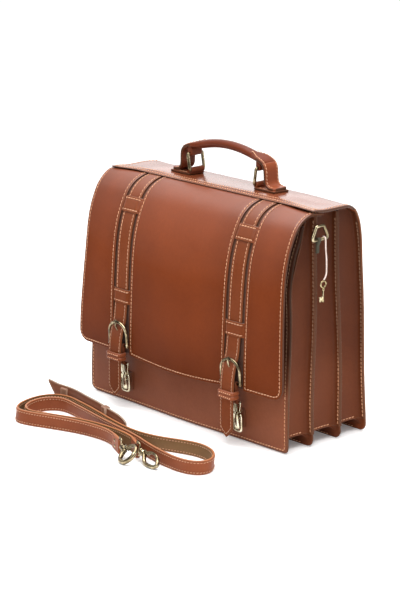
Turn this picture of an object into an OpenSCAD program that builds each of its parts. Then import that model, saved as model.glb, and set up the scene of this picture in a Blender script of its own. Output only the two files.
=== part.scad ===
/* [Body] */
// Width of the bag across the front panel
bag_w = 400; // [394:1:406]
// Thickness of the panel leather
leather_t = 3; // [2.6:0.1:3.2]
// Thickness of the gusset leather
gusset_t = 2; // [1.6:0.1:2.2]
// How far the panel edges stand out past the gussets
flange_w = 9; // [7:0.5:10]
// Radius of the bottom corners of the panels
corner_r = 20; // [14:1:22]
// Height of the recess under the bag between the panel edges
recess_h = 12; // [9:0.5:14]
// Height of the dividers and gussets
inner_h = 306; // [295:1:307]

/* [Flap] */
// Height of the flap's bottom edge above the floor
flap_z = 76; // [76:0.5:79]
// Thickness of the outer flap leather
flap_t = 2.5; // [2.3:0.1:2.6]
// Thickness of the flap lining
lining_t = 2; // [1.6:0.1:2]
// Radius of the bottom corners of the flap
flap_r = 15; // [10:1:20]

/* [Closing straps] */
// Distance of each closing strap from the middle of the bag
strap_x = 115; // [112:1:118]
// Width of the closing straps
strap_w = 24; // [22:0.5:24.5]
// Thickness of the closing straps
strap_t = 2.4; // [2:0.1:2.4]
// Width of the strap channel between the flap panels
channel_w = 36; // [35:0.5:37]
// Height of each strap keeper
keeper_h = 20; // [16:1:21]
// Height of the middle of the lower keepers
keeper_low_z = 157; // [157:0.5:160]
// Height of the middle of the upper keepers
keeper_high_z = 282; // [278:1:285]

/* [Hardware] */
// Wire radius of the buckle frames
buckle_r = 2; // [1.8:0.1:2]
// Half width of a buckle, between wire centres
buckle_half = 16.5; // [16:0.1:16.8]
// Radius of the buckle bars
bar_r = 1.7; // [1.5:0.05:1.7]
// Clearance round every turning bar
play = 0.06; // [0.04:0.01:0.08]
// Wire radius of the clips
clip_r = 1.8; // [1.6:0.1:1.8]
// Wire radius of the side rings
ring_r = 1.6; // [1.4:0.1:1.7]

/* [Handle] */
// Height of the grip's highest point above the floor
grip_top = 377; // [374:1:380]
// Thickness of the padded grip in its middle
grip_t = 11; // [10:0.5:13]
// Width of the rolled middle of the grip from front to back
grip_w = 14; // [12:0.5:16]

/* [Shoulder strap] */
// Width of the shoulder strap
belt_w = 20; // [18:0.5:21]
// Thickness of the shoulder strap
belt_t = 3; // [2.4:0.1:3.2]

/* [Hidden] */
$fn = 48;

hw = bag_w / 2;
tan = "#8a4a28";
tan_lit = "#a8622f";
inside = "#5b3b22";
brass = "#9a8350";
ivory = "#d9c2b4";

// Side profiles as (y, z) points.  Each runs so that a positive offset
// goes towards the inside of the bag: up the back, forwards over the lid,
// and down the front.
lid_axis = [64, 313.4];
flap_axis = [-15, 319.5];
back_line = [[89, 0], [88, 80], [86, 180], [83, 238], [78, 284], [71.5, 302], lid_axis];
lid_line = [lid_axis, [58, 316.2], [45, 319.6], [25, 321.8], [5, 321.6], flap_axis];
flap_line = [flap_axis, [-25, 316], [-33, 309], [-40.5, 299], [-47.5, 287], [-54, 273],
  [-59, 258.5], [-63, 242], [-65.8, 224], [-68, 203], [-70.5, 170], [-72.5, 135], [-74, 100], [-74.5, 70]];
// The three run on from one another, so that they share their corner mitres
whole_line = concat(back_line, [for (i = [1:5]) lid_line[i]], [for (i = [1:13]) flap_line[i]]);
divider_1_line = [[-6, inner_h], [-8, 200], [-11.5, 60], [-12, 0]];
divider_2_line = [[32, inner_h], [35.5, 200], [38.5, 60], [39, 0]];
tail_line = [[-72.2, 145.7], [-75.2, 132], [-77.9, 112], [-84.4, 92], [-85.7, 72], [-86.4, 45], [-87, 17]];

flap_d = flap_t + lining_t;
front_line = concat([for (i = [1:8]) offs(flap_line, flap_d + 1.5)[i]], [[-60, 190], [-60, 0]]);

// Unit direction from a to b, its left normal, and the mitred offset of a line
function dir(a, b) = (b - a) / norm(b - a);
function left_n(t) = [-t[1], t[0]];
function mitre(p, i) =
  let (n = len(p),
       t0 = dir(p[max(i - 1, 0)], p[max(i, 1)]),
       t1 = dir(p[min(i, n - 2)], p[min(i + 1, n - 1)]),
       a = left_n(t0), b = left_n(t1))
  (a + b) / (1 + a * b);
function offs(p, d) = [for (i = [0:len(p) - 1]) p[i] + d * mitre(p, i)];
function rev(p) = [for (i = [len(p) - 1:-1:0]) p[i]];
// One round of corner cutting on an open line
function cut_corners(p) = concat([p[0]],
  [for (i = [0:len(p) - 2]) each [0.75 * p[i] + 0.25 * p[i + 1], 0.25 * p[i] + 0.75 * p[i + 1]]],
  [p[len(p) - 1]]);

// A (y, z) outline drawn out along X
module along_x(x0, x1) translate([x0, 0, 0]) rotate([90, 0, 90]) linear_extrude(x1 - x0) children();
// An (x, z) outline drawn out along Y
module along_y(y0, y1) translate([0, y1, 0]) rotate([90, 0, 0]) linear_extrude(y1 - y0) children();
// Sheet that follows a profile between two offsets
module sheet(p, d0, d1, x0, x1) along_x(x0, x1) polygon(concat(offs(p, d0), rev(offs(p, d1))));
// The same on a stretch of the whole profile, cut back at both ends for a bending line
function span(i0, i1, d) = let (o = offs(whole_line, d)) [for (i = [i0:i1]) o[i]];
module slit(i) {
  p = whole_line[i];
  m = mitre(whole_line, i);
  t = [m[1], -m[0]] * 0.25 / norm(m);
  along_x(-hw - 10, hw + 10) polygon([p - 2 * m + t, p - 2 * m - t, p + 8 * m - t, p + 8 * m + t]);
}
module leaf(i0, i1, d0, d1, x0, x1) difference() {
  along_x(x0, x1) polygon(concat(span(i0, i1, d0), rev(span(i0, i1, d1))));
  if (i0 > 0) slit(i0);
  if (i1 < len(whole_line) - 1) slit(i1);
}
module box(x0, x1, y0, y1, z0, z1) translate([x0, y0, z0]) cube([x1 - x0, y1 - y0, z1 - z0]);
// Round rod between two points
module rod(a, b, r) {
  v = b - a;
  translate(a) rotate([0, acos(v[2] / norm(v)), atan2(v[1], v[0])]) cylinder(h = norm(v), r = r);
}
// Bent wire: rods with a slightly larger ball at every corner
module chain(p, r) {
  translate(p[0]) sphere(r = r + 0.12);
  for (i = [0:len(p) - 2]) {
    rod(p[i], p[i + 1], r);
    if (i < len(p) - 2 || p[i + 1] != p[0]) translate(p[i + 1]) sphere(r = r + 0.12);
  }
}
module tube_x(x0, x1, y, z, r) translate([x0, y, z]) rotate([0, 90, 0]) cylinder(h = x1 - x0, r = r);
module tube_y(x, y0, y1, z, r) translate([x, y0, z]) rotate([-90, 0, 0]) cylinder(h = y1 - y0, r = r);

// Panel outline with round bottom corners
module panel_outline() {
  translate([-hw, corner_r]) square([bag_w, 340]);
  translate([-hw + corner_r, 0]) square([bag_w - 2 * corner_r, corner_r + 1]);
  for (s = [-1, 1]) translate([s * (hw - corner_r), corner_r]) circle(r = corner_r);
}
module panel(p) intersection() {
  sheet(p, 0, leather_t, -hw, hw);
  along_y(-120, 120) panel_outline();
}

module front_panel() color(tan) panel(front_line);
module divider_1() color(tan) panel(divider_1_line);
module divider_2() color(tan) panel(divider_2_line);
module back_panel() color(tan) intersection() {
  leaf(0, 6, 0, leather_t, -hw, hw);
  along_y(-120, 120) panel_outline();
}

// The front and rear face lines of each bay, both falling
function bay_front(k) = k == 1 ? offs(front_line, leather_t) : k == 2 ? offs(divider_1_line, leather_t) : offs(divider_2_line, leather_t);
function bay_rear(k) = k == 1 ? divider_1_line : k == 2 ? divider_2_line : rev(offs(back_line, leather_t));

// Side gusset of bay k: a web between two panels, with its two edges turned outwards
module side_gusset(k, s) {
  a = bay_front(k);
  b = bay_rear(k);
  web = hw - flange_w;
  top = k == 1 ? inner_h - 3 : inner_h;
  color(tan) mirror([s < 0 ? 1 : 0, 0, 0]) {
    intersection() {
      along_x(web - gusset_t, web) polygon(concat(a, rev(b)));
      box(0, hw, -100, 100, recess_h, top);
    }
    intersection() {
      union() {
        sheet(a, 0, gusset_t, web - 0.01, hw);
        sheet(b, -gusset_t, 0, web - 0.01, hw);
      }
      box(0, hw + 1, -100, 100, corner_r + 2, top);
    }
  }
}
module gusset_left_1() side_gusset(1, -1);
module gusset_left_2() side_gusset(2, -1);
module gusset_left_3() side_gusset(3, -1);
module gusset_right_1() side_gusset(1, 1);
module gusset_right_2() side_gusset(2, 1);
module gusset_right_3() side_gusset(3, 1);

// Bottom gusset of bay k: a raised floor with its two edges turned down to the ground
module bottom_gusset(k) {
  a = bay_front(k);
  b = bay_rear(k);
  web = hw - flange_w - gusset_t;
  color(tan) intersection() {
    union() {
      along_x(-web, web) polygon(concat(a, rev(b)));
    }
    union() {
      box(-web, web, -100, 100, recess_h, recess_h + gusset_t);
      intersection() {
        union() {
          sheet(a, 0, gusset_t, -hw + corner_r + 2, hw - corner_r - 2);
          sheet(b, -gusset_t, 0, -hw + corner_r + 2, hw - corner_r - 2);
        }
        box(-hw, hw, -100, 100, 0, recess_h + 0.01);
      }
    }
  }
}
module gusset_bottom_1() bottom_gusset(1);
module gusset_bottom_2() bottom_gusset(2);
module gusset_bottom_3() bottom_gusset(3);

// ---- lid and handle ----
module top_panel() color(tan_lit) leaf(6, 11, 0, leather_t, -hw, hw);

grip_y = 25;
loop_x = 66.5;
// Half width of the flat strap ends of the handle, and half length of the grip
end_w = 12.5;
grip_half = 80;
loop_top = 351;
roll_z = 328.2;
// Arched grip: a round-topped bow drawn out from front to back
module handle_grip() color(tan_lit) difference() {
  union() {
    along_y(grip_y - grip_w / 2, grip_y + grip_w / 2) polygon(concat(
      [for (u = [-1:0.125:1]) [u * grip_half, grip_top - 16 * u * u]],
      [for (u = [1:-0.125:-1]) [u * grip_half, grip_top - 16 * u * u - 6 - (grip_t - 6) * (1 - u * u)]]));
    // flat ends
    for (s = [-1, 1]) along_y(grip_y - end_w, grip_y + end_w) polygon(concat(
      [for (i = [0:5]) let (u = 0.65 + 0.07 * i) [s * u * grip_half, grip_top - 0.4 - 16 * u * u]],
      [for (i = [5:-1:0]) let (u = 0.65 + 0.07 * i) [s * u * grip_half, grip_top - 5 - 16 * u * u]]));
    // tongue that holds the metal loop
    for (s = [-1, 1]) {
      tube_y(s * loop_x, grip_y - 10, grip_y + 10, loop_top, 4.2);
      translate([s * loop_x - 4.2, grip_y - 10, loop_top]) cube([8.4, 20, 9]);
    }
  }
  for (s = [-1, 1]) tube_y(s * loop_x, -20, 80, loop_top, 2.2);
}
// Outer face of the strap end, from the lid up to the grip
foot_line = [[99, 325.8], [91.5, 327.4], [87, 334], [85.4, 343], [84.4, 353], [80.2, 362]];
// Foot: a patch on the lid, a bend up to the grip and a roll round the loop's lower bar
module handle_foot(s) color(tan_lit) mirror([s < 0 ? 1 : 0, 0, 0]) {
  difference() {
    union() {
      intersection() {
        sheet(lid_line, -3, 0, 60, 103);
        box(0, 200, grip_y - 13.5, grip_y + 13.5, 300, 340);
      }
      tube_y(loop_x, grip_y - 10, grip_y + 10, roll_z, 4.6);
      box(loop_x - 4.6, loop_x + 4.6, grip_y - 10, grip_y + 10, 323.5, roll_z);
    }
    tube_y(loop_x, -20, 80, roll_z, 2.2);
  }
  along_y(grip_y - end_w, grip_y + end_w)
    polygon(concat(foot_line, rev(offs(foot_line, 3.4))));
}
module handle_foot_left() handle_foot(-1);
module handle_foot_right() handle_foot(1);
// Rectangular wire loop that stands across the lid
module handle_loop(s) color(brass) {
  x = s * loop_x;
  p = [[x, grip_y - 13, roll_z], [x, grip_y - 13, loop_top], [x, grip_y + 13, loop_top], [x, grip_y + 13, roll_z], [x, grip_y - 13, roll_z]];
  chain(p, 2.2);
}
module handle_loop_left() handle_loop(-1);
module handle_loop_right() handle_loop(1);

// ---- flap ----
module flap_outline() {
  translate([-hw, flap_z + flap_r]) square([bag_w, 300]);
  translate([-hw + flap_r, flap_z]) square([bag_w - 2 * flap_r, flap_r + 1]);
  for (s = [-1, 1]) translate([s * (hw - flap_r), flap_z + flap_r]) circle(r = flap_r);
}
module flap_layer(d0, d1, x0, x1) intersection() {
  leaf(11, 24, d0, d1, x0, x1);
  along_y(-120, 120) flap_outline();
}
module flap_lining() color(inside) flap_layer(flap_t, flap_d, -hw, hw);
module flap_left() color(tan) flap_layer(0, flap_t, -hw, -strap_x - channel_w / 2);
module flap_centre() color(tan) flap_layer(0, flap_t, -strap_x + channel_w / 2, strap_x - channel_w / 2);
module flap_right() color(tan) flap_layer(0, flap_t, strap_x + channel_w / 2, hw);

// Keeper: a band over the strap with a leg on each side of it
module keeper(x, z) color(tan_lit) intersection() {
  union() {
    sheet(flap_line, -2, flap_t - strap_t - 0.1, x - channel_w / 2, x + channel_w / 2);
    for (s = [-1, 1]) sheet(flap_line, -2, flap_t, x + s * (channel_w / 4 + strap_w / 4 + 0.15) - (channel_w / 4 - strap_w / 4 - 0.15),
      x + s * (channel_w / 4 + strap_w / 4 + 0.15) + (channel_w / 4 - strap_w / 4 - 0.15));
  }
  box(x - 40, x + 40, -120, 20, z - keeper_h / 2, z + keeper_h / 2);
}
module keeper_left_high() keeper(-strap_x, keeper_high_z);
module keeper_left_low() keeper(-strap_x, keeper_low_z);
module keeper_right_high() keeper(strap_x, keeper_high_z);
module keeper_right_low() keeper(strap_x, keeper_low_z);

module upper_strap(x) color(tan_lit) intersection() {
  sheet(flap_line, flap_t - strap_t, flap_t, x - strap_w / 2, x + strap_w / 2);
  box(x - 40, x + 40, -120, 20, 146.3, 313);
}
module strap_left() upper_strap(-strap_x);
module strap_right() upper_strap(strap_x);

// ---- strap tail with buckle ----
bar_z = 85;
bar_y = -78.4;
arch_z = 104;
// Lower strap: pointed tip, and a slot that the prong comes through
module tail(x) color(tan_lit) difference() {
  intersection() {
    sheet(tail_line, 0, strap_t, x - strap_w / 2, x + strap_w / 2);
    along_y(-120, 0) polygon([[x - strap_w / 2, 200], [x - strap_w / 2, 34], [x - strap_w / 2 + 3, 26], [x, 17],
      [x + strap_w / 2 - 3, 26], [x + strap_w / 2, 34], [x + strap_w / 2, 200]]);
  }
  box(x - 3, x + 3, -120, 0, 87.5, 103.5);
}
module tail_left() tail(-strap_x);
module tail_right() tail(strap_x);

// Horseshoe buckle: a round arch in front of the strap, two legs and a straight bar behind it
module buckle(x) color(brass) {
  lean = atan2(1.6, arch_z - bar_z + buckle_half);
  translate([x, bar_y, bar_z]) rotate([lean, 0, 0]) {
    translate([0, 0, arch_z - bar_z]) rotate([90, 0, 0]) rotate_extrude(angle = 180) translate([buckle_half, 0]) circle(r = buckle_r);
    for (s = [-1, 1]) {
      translate([s * buckle_half, 0, 0]) cylinder(h = arch_z - bar_z, r = buckle_r);
      translate([s * buckle_half, 0, 0]) sphere(r = buckle_r);
    }
    tube_x(-buckle_half, buckle_half, 0, 0, bar_r);
  }
}
module buckle_left() buckle(-strap_x);
module buckle_right() buckle(strap_x);

// Prong: an eye on the bar and a bent pin that comes through the strap and rests on the arch
module prong(x) color(brass) difference() {
  union() {
    tube_x(x - 2.2, x + 2.2, bar_y, bar_z, bar_r + play + 1.3);
    chain([[x, bar_y - 1, bar_z + 2], [x, -84.6, 96], [x, -84.1, 121.5]], 1.4);
  }
  tube_x(x - 10, x + 10, bar_y, bar_z, bar_r + play);
}
module prong_left() prong(-strap_x);
module prong_right() prong(strap_x);

// Chape: leather folded round the buckle bar and round the clip's eye bar
eye_z = 57;
eye_y = -71.5;
eye_r = 1.5;
module chape(x) color(tan) difference() {
  union() {
    tube_x(x - strap_w / 2, x + strap_w / 2, bar_y, bar_z, bar_r + 1.8);
    tube_x(x - 7.4, x + 7.4, eye_y, eye_z, eye_r + play + 1.6);
    sheet([[bar_y, bar_z], [-79.2, 76], [-79, 60.5]], -1.9, 1.9, x - strap_w / 2, x + strap_w / 2);
    sheet([[-79, 61], [eye_y, eye_z]], -1.9, 1.9, x - 7.4, x + 7.4);
  }
  tube_x(x - 40, x + 40, bar_y, bar_z, bar_r);
  tube_x(x - 40, x + 40, eye_y, eye_z, eye_r + play);
  // slot for the prong's eye
  box(x - 2.6, x + 2.6, bar_y - 6, bar_y + 6, bar_z - 4.5, bar_z + 6);
}
module chape_left() chape(-strap_x);
module chape_right() chape(strap_x);

// Leather loop round the tail and the chape
module loop(x) color(tan_lit) {
  z0 = 62.5; z1 = 74;
  difference() {
    box(x - strap_w / 2 - 2.4, x + strap_w / 2 + 2.4, -89, -75, z0, z1);
    box(x - strap_w / 2 - 0.3, x + strap_w / 2 + 0.3, -86.9, -76.8, z0 - 1, z1 + 1);
  }
}
module loop_left() loop(-strap_x);
module loop_right() loop(strap_x);

// Clip: an eye for the chape, a cross bar and a round-bottomed wire loop
clip_lean = 3;
clip_half = 9.2;
pivot_z = -13;
module clip(x) color(brass) translate([x, eye_y, eye_z]) rotate([clip_lean, 0, 0]) {
  tube_x(-clip_half, clip_half, 0, 0, eye_r);
  for (s = [-1, 1]) {
    translate([s * clip_half, 0, -31]) cylinder(h = 31, r = clip_r);
    translate([s * clip_half, 0, 0]) sphere(r = clip_r);
  }
  translate([0, 0, -31]) rotate([-90, 0, 0]) rotate_extrude(angle = 180) translate([clip_half, 0]) circle(r = clip_r);
  tube_x(-clip_half, clip_half, 0, pivot_z, 1.5);
}
module clip_left() clip(-strap_x);
module clip_right() clip(strap_x);

// Sprung lever: a tongue that turns on the clip's cross bar and closes the wire loop
module lever(x) color(brass) translate([x, eye_y, eye_z]) rotate([clip_lean, 0, 0]) difference() {
  union() {
    tube_x(-4.2, 4.2, 0, pivot_z, 3);
    translate([-3.4, -3.6, pivot_z - 19]) cube([6.8, 2, 19]);
    translate([0, -1.6, pivot_z - 19]) rotate([90, 0, 0]) cylinder(h = 2, r = 3.4);
    translate([-3.4, -3.6, pivot_z - 3]) cube([6.8, 3, 4]);
  }
  tube_x(-20, 20, 0, pivot_z, 1.5 + play);
}
module lever_left() lever(-strap_x);
module lever_right() lever(strap_x);

// Catch: a plate on the front panel with a round post inside the clip's wire loop
module catch(x) color(brass) {
  box(x - 8, x + 8, -61.2, -60, 20, 46);
  translate([x, -60.5, 33]) rotate([90, 0, 0]) cylinder(h = 8.5, r = 2.4);
}
module catch_left() catch(-strap_x);
module catch_right() catch(strap_x);

// ---- side rings ----
ring_x = hw + 2.6;
ring_z = 280;
ring_y = -1.5;
tab_y0 = -8.5;
tab_y1 = 0.5;
module ring_tab(s) color(tan_lit) mirror([s < 0 ? 1 : 0, 0, 0]) difference() {
  union() {
    box(hw, hw + 3.6, tab_y0, tab_y1, 259, ring_z);
    tube_y(ring_x, tab_y0, tab_y1, ring_z, ring_r + play + 1.7);
  }
  tube_y(ring_x, -60, 60, ring_z, ring_r + play);
  box(hw - 8, hw, -40, 40, 240, 320);
}
module ring_tab_left() ring_tab(-1);
module ring_tab_right() ring_tab(1);
// Six-sided wire ring, standing on its bar
module ring(s) color(brass) {
  x = s * ring_x;
  chain([[x, ring_y - 13, ring_z], [x, ring_y - 13, ring_z + 5], [x, ring_y - 6.5, ring_z + 18],
    [x, ring_y + 6.5, ring_z + 18], [x, ring_y + 13, ring_z + 5], [x, ring_y + 13, ring_z], [x, ring_y - 13, ring_z]], ring_r);
}
module ring_left() ring(-1);
module ring_right() ring(1);

// ---- key ----
// Route of the key's cord: half round the ring's bar, then down to the key's bow
cord_r = 0.8;
bow_z = 221;
cord_route = concat([for (a = [180:-30:0]) [ring_x + 2.7 * cos(a), 6, ring_z + 2.7 * sin(a)]],
  [[ring_x + 3, 6, 270], [ring_x + 3.4, 7, 255], [ring_x + 3.6, 7, 240], [ring_x + 3.6, 5, 230], [ring_x + 3.6, 2, bow_z + 5.6]]);
// Round tube along a route, 8 sides
function tangent(p, i) = let (d = p[min(i + 1, len(p) - 1)] - p[max(i - 1, 0)]) d / norm(d);
module tube(p, r) {
  n = 8;
  rings = [for (i = [0:len(p) - 1]) let (t = tangent(p, i), b = [0, 1, 0], u0 = b - (b * t) * t, u = u0 / norm(u0), v = cross(t, u))
    [for (k = [0:n - 1]) p[i] + r * cos(360 * k / n) * u + r * sin(360 * k / n) * v]];
  pts = [for (q = rings) each q];
  m = len(p);
  polyhedron(pts, concat(
    [[for (k = [0:n - 1]) k]],
    [for (i = [0:m - 2]) for (k = [0:n - 1]) each [
      [i * n + k, (i + 1) * n + k, i * n + (k + 1) % n],
      [(i + 1) * n + k, (i + 1) * n + (k + 1) % n, i * n + (k + 1) % n]]],
    [[for (k = [n - 1:-1:0]) (m - 1) * n + k]]));
}
module key_cord() color(ivory) tube(cord_route, cord_r);
module key() color(brass) translate([ring_x + 3.6, 1, bow_z]) {
  rotate([0, 90, 0]) rotate_extrude() translate([4.4, 0]) circle(r = 1.2);
  translate([0, -0.2, -24]) cylinder(h = 20, r = 1.4);
  translate([-0.8, -7, -23]) cube([1.6, 7, 7]);
  translate([0, -0.2, -7]) cylinder(h = 2, r = 2.2);
}

// ---- shoulder strap on the floor ----
// Plan of the strap's middle line, from the first hook to the second
belt_route = [[44.8, -210.8], [30, -203.8], [8, -195.5], [-20, -192.6], [-60, -199], [-100, -212.5], [-132, -225], [-155, -228.5],
  [-171, -214.5], [-180, -191], [-181, -166], [-170, -147], [-148, -141], [-120, -146], [-80, -153], [-40, -162], [0, -169],
  [35, -171], [70, -165], [104, -151], [130, -145], [156, -150], [176, -164], [185, -182], [178, -197], [154, -204],
  [115, -201], [80, -194], [40, -183], [0, -177], [-40, -170], [-80, -162], [-120, -155], [-148, -151], [-166, -162],
  [-171, -182], [-163, -205], [-147, -217.5], [-129, -216.5], [-100, -205.5], [-60, -192.5], [-20, -186.8], [20, -187],
  [46, -191.8], [60, -198.6], [72.6, -205.2]];
belt_line = cut_corners(cut_corners(belt_route));
module belt() color(tan_lit) linear_extrude(belt_w)
  polygon(concat(offs(belt_line, belt_t / 2), rev(offs(belt_line, -belt_t / 2))));
// Pad: a longer, taller cushion behind the strap
pad_line = [[-188, -147], [-170, -137.5], [-148, -135], [-120, -140.2], [-80, -147.2], [-40, -156.2], [-4, -162.6]];
module belt_pad() color(tan) linear_extrude(37)
  polygon(concat(offs(pad_line, 5), rev(offs(pad_line, 0.6))));

// Hooks: each has its own frame, x along the hook, starting at the strap's end
module at_hook(k) {
  if (k == 1) translate([44, -210.5, 13.6]) rotate([0, 3, -24]) children();
  else translate([72, -205, 14]) rotate([0, 8, -14]) children();
}
hook_roll = [42, 50];
// Swivel eye: an upright bar in the strap's end, two arms and a swivel post
module hook_eye(k) color(brass) at_hook(k) {
  chain([[0, 0, -8.2], [0, 0, 8.2], [8, 0, 8.2], [8, 0, -8.2], [0, 0, -8.2]], 1.3);
  translate([8, 0, 0]) rotate([0, 90, 0]) cylinder(h = 9.8, r = 1.8, $fn = 32);
  translate([16.2, 0, 0]) rotate([0, 90, 0]) cylinder(h = 1.6, r = 2.8, $fn = 32);
}
module hook_eye_1() hook_eye(1);
module hook_eye_2() hook_eye(2);
// Hook: a barrel on the swivel post and an open wire bow
wire = 2;
bow_x = 36;
bow_R = 11.5;
gate_at = [[25.2, 4.2], [25.4, 3.6]];
module hook(k) color(brass) at_hook(k) rotate([hook_roll[k - 1], 0, 0]) {
  difference() {
    translate([10.4, 0, 0]) rotate([0, 90, 0]) cylinder(h = 12.6, r = 4.4);
    translate([10, 0, 0]) rotate([0, 90, 0]) cylinder(h = 7, r = 1.8 + play, $fn = 32);
    translate([16.1, 0, 0]) rotate([0, 90, 0]) cylinder(h = 2.2, r = 2.8 + play, $fn = 32);
  }
  // two ears and a pin for the gate
  for (s = [-1, 1]) translate([20, gate_at[k - 1][1] - 2, s * 3 - 0.5]) cube([gate_at[k - 1][0] - 18, 4, 1]);
  translate([gate_at[k - 1][0], gate_at[k - 1][1], -3]) cylinder(h = 6, r = 1, $fn = 32);
  if (k == 1) translate([bow_x, 0, 0]) rotate([0, 0, 184]) rotate_extrude(angle = 271) translate([bow_R, 0]) circle(r = wire);
  else {
    translate([38, 9, 0]) rotate([0, 0, 212]) rotate_extrude(angle = 118) translate([18, 0]) circle(r = wire);
    translate([38, -9, 0]) rotate([0, 0, 30]) rotate_extrude(angle = 30) translate([18, 0]) circle(r = wire);
    translate([38 + 18 * cos(30), 0, 0]) sphere(r = wire + 0.3);
  }
}
module hook_1() hook(1);
module hook_2() hook(2);
// Gate: the sprung length of wire that closes the bow
module hook_gate(k) color(brass) at_hook(k) rotate([hook_roll[k - 1], 0, 0]) {
  difference() {
    union() {
      translate([gate_at[k - 1][0], gate_at[k - 1][1], -2.3]) cylinder(h = 4.6, r = 2.1);
      if (k == 1) translate([bow_x, 0, 0]) rotate([0, 0, 106]) rotate_extrude(angle = 49) translate([bow_R, 0]) circle(r = wire - 0.3);
      else translate([38, -9, 0]) rotate([0, 0, 69]) rotate_extrude(angle = 64) translate([18, 0]) circle(r = wire - 0.3);
    }
    translate([gate_at[k - 1][0], gate_at[k - 1][1], -8]) cylinder(h = 16, r = 1 + play, $fn = 32);
  }
}
module hook_gate_1() hook_gate(1);
module hook_gate_2() hook_gate(2);

front_panel();
divider_1();
divider_2();
back_panel();
gusset_left_1();
gusset_left_2();
gusset_left_3();
gusset_right_1();
gusset_right_2();
gusset_right_3();
gusset_bottom_1();
gusset_bottom_2();
gusset_bottom_3();
ring_tab_left();
ring_tab_right();
catch_left();
catch_right();
top_panel();
handle_grip();
handle_foot_left();
handle_foot_right();
handle_loop_left();
handle_loop_right();
flap_lining();
flap_left();
flap_centre();
flap_right();
keeper_left_high();
keeper_left_low();
keeper_right_high();
keeper_right_low();
strap_left();
strap_right();
tail_left();
tail_right();
buckle_left();
buckle_right();
prong_left();
prong_right();
chape_left();
chape_right();
loop_left();
loop_right();
clip_left();
clip_right();
lever_left();
lever_right();
ring_left();
ring_right();
key_cord();
key();
belt();
belt_pad();
hook_eye_1();
hook_eye_2();
hook_1();
hook_2();
hook_gate_1();
hook_gate_2();
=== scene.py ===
import math

import bmesh
import bpy
import numpy as np
from mathutils import Matrix


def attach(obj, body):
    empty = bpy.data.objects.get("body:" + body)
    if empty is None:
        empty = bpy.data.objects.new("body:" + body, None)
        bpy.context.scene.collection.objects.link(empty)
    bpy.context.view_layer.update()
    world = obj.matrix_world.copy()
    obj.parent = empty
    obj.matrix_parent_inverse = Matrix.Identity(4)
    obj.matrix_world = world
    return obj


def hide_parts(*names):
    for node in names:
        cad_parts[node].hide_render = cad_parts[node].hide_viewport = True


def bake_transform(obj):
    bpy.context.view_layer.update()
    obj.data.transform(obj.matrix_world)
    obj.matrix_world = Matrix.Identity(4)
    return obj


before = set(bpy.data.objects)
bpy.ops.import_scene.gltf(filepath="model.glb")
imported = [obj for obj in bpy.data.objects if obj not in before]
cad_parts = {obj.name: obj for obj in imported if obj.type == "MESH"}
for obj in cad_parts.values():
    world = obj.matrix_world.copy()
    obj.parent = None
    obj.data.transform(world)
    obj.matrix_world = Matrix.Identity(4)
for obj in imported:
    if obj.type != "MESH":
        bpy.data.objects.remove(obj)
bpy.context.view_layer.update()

MM = 0.001  # everything below is in millimetres, in the frame of the bag

# ---------------------------------------------------------------- camera


def make_camera():
    az, el, roll = (math.radians(a) for a in (48.543, 15.184, -0.686))
    back = np.array([math.sin(az) * math.cos(el), -math.cos(az) * math.cos(el), math.sin(el)])
    right = np.cross([0, 0, 1], back)
    right /= np.linalg.norm(right)
    up = np.cross(back, right)
    r = right * math.cos(roll) + up * math.sin(roll)
    u = up * math.cos(roll) - right * math.sin(roll)
    data = bpy.data.cameras.new("camera")
    data.lens, data.sensor_width, data.clip_start, data.clip_end = 143.66, 36, 0.05, 60
    cam = bpy.data.objects.new("camera", data)
    bpy.context.scene.collection.objects.link(cam)
    p = (2.3407, -2.0971, 1.0129)
    cam.matrix_world = Matrix([[r[i], u[i], back[i], p[i]] for i in range(3)] + [[0, 0, 0, 1]])
    bpy.context.scene.camera = cam


make_camera()

# ---------------------------------------------------------------- small maths


def sm(a, b, x):
    """Smooth step from 0 at a to 1 at b, either way round."""
    t = np.clip((np.asarray(x, float) - a) / (b - a), 0, 1)
    return t * t * (3 - 2 * t)


def unit(v):
    v = np.asarray(v, float)
    return v / np.maximum(np.linalg.norm(v, axis=-1, keepdims=True), 1e-12)


def spline(pts, n=20):
    """Natural cubic line through the points."""
    p = np.asarray(pts, float)
    h = np.linalg.norm(np.diff(p, axis=0), axis=1)
    k = len(p)
    a, b = np.zeros((k, k)), np.zeros(p.shape)
    a[0, 0] = a[-1, -1] = 1
    for i in range(1, k - 1):
        a[i, i - 1 : i + 2] = h[i - 1], 2 * (h[i - 1] + h[i]), h[i]
        b[i] = 6 * ((p[i + 1] - p[i]) / h[i] - (p[i] - p[i - 1]) / h[i - 1])
    m = np.linalg.solve(a, b)
    out = []
    for i in range(k - 1):
        u = np.linspace(0, 1, n, endpoint=False)[:, None] * h[i]
        c3, c2 = (m[i + 1] - m[i]) / (6 * h[i]), m[i] / 2
        c1 = (p[i + 1] - p[i]) / h[i] - h[i] * (2 * m[i] + m[i + 1]) / 6
        out.append(p[i] + c1 * u + c2 * u**2 + c3 * u**3)
    return np.concatenate(out + [p[-1:]])


def lengths(p):
    return np.concatenate([[0], np.cumsum(np.linalg.norm(np.diff(p, axis=0), axis=1))])


def resample(p, step=None, n=None):
    p = np.asarray(p, float)
    s = lengths(p)
    n = n or max(2, int(round(s[-1] / step)) + 1)
    t = np.linspace(0, s[-1], n)
    return np.stack([np.interp(t, s, p[:, k]) for k in range(p.shape[1])], -1)


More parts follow.
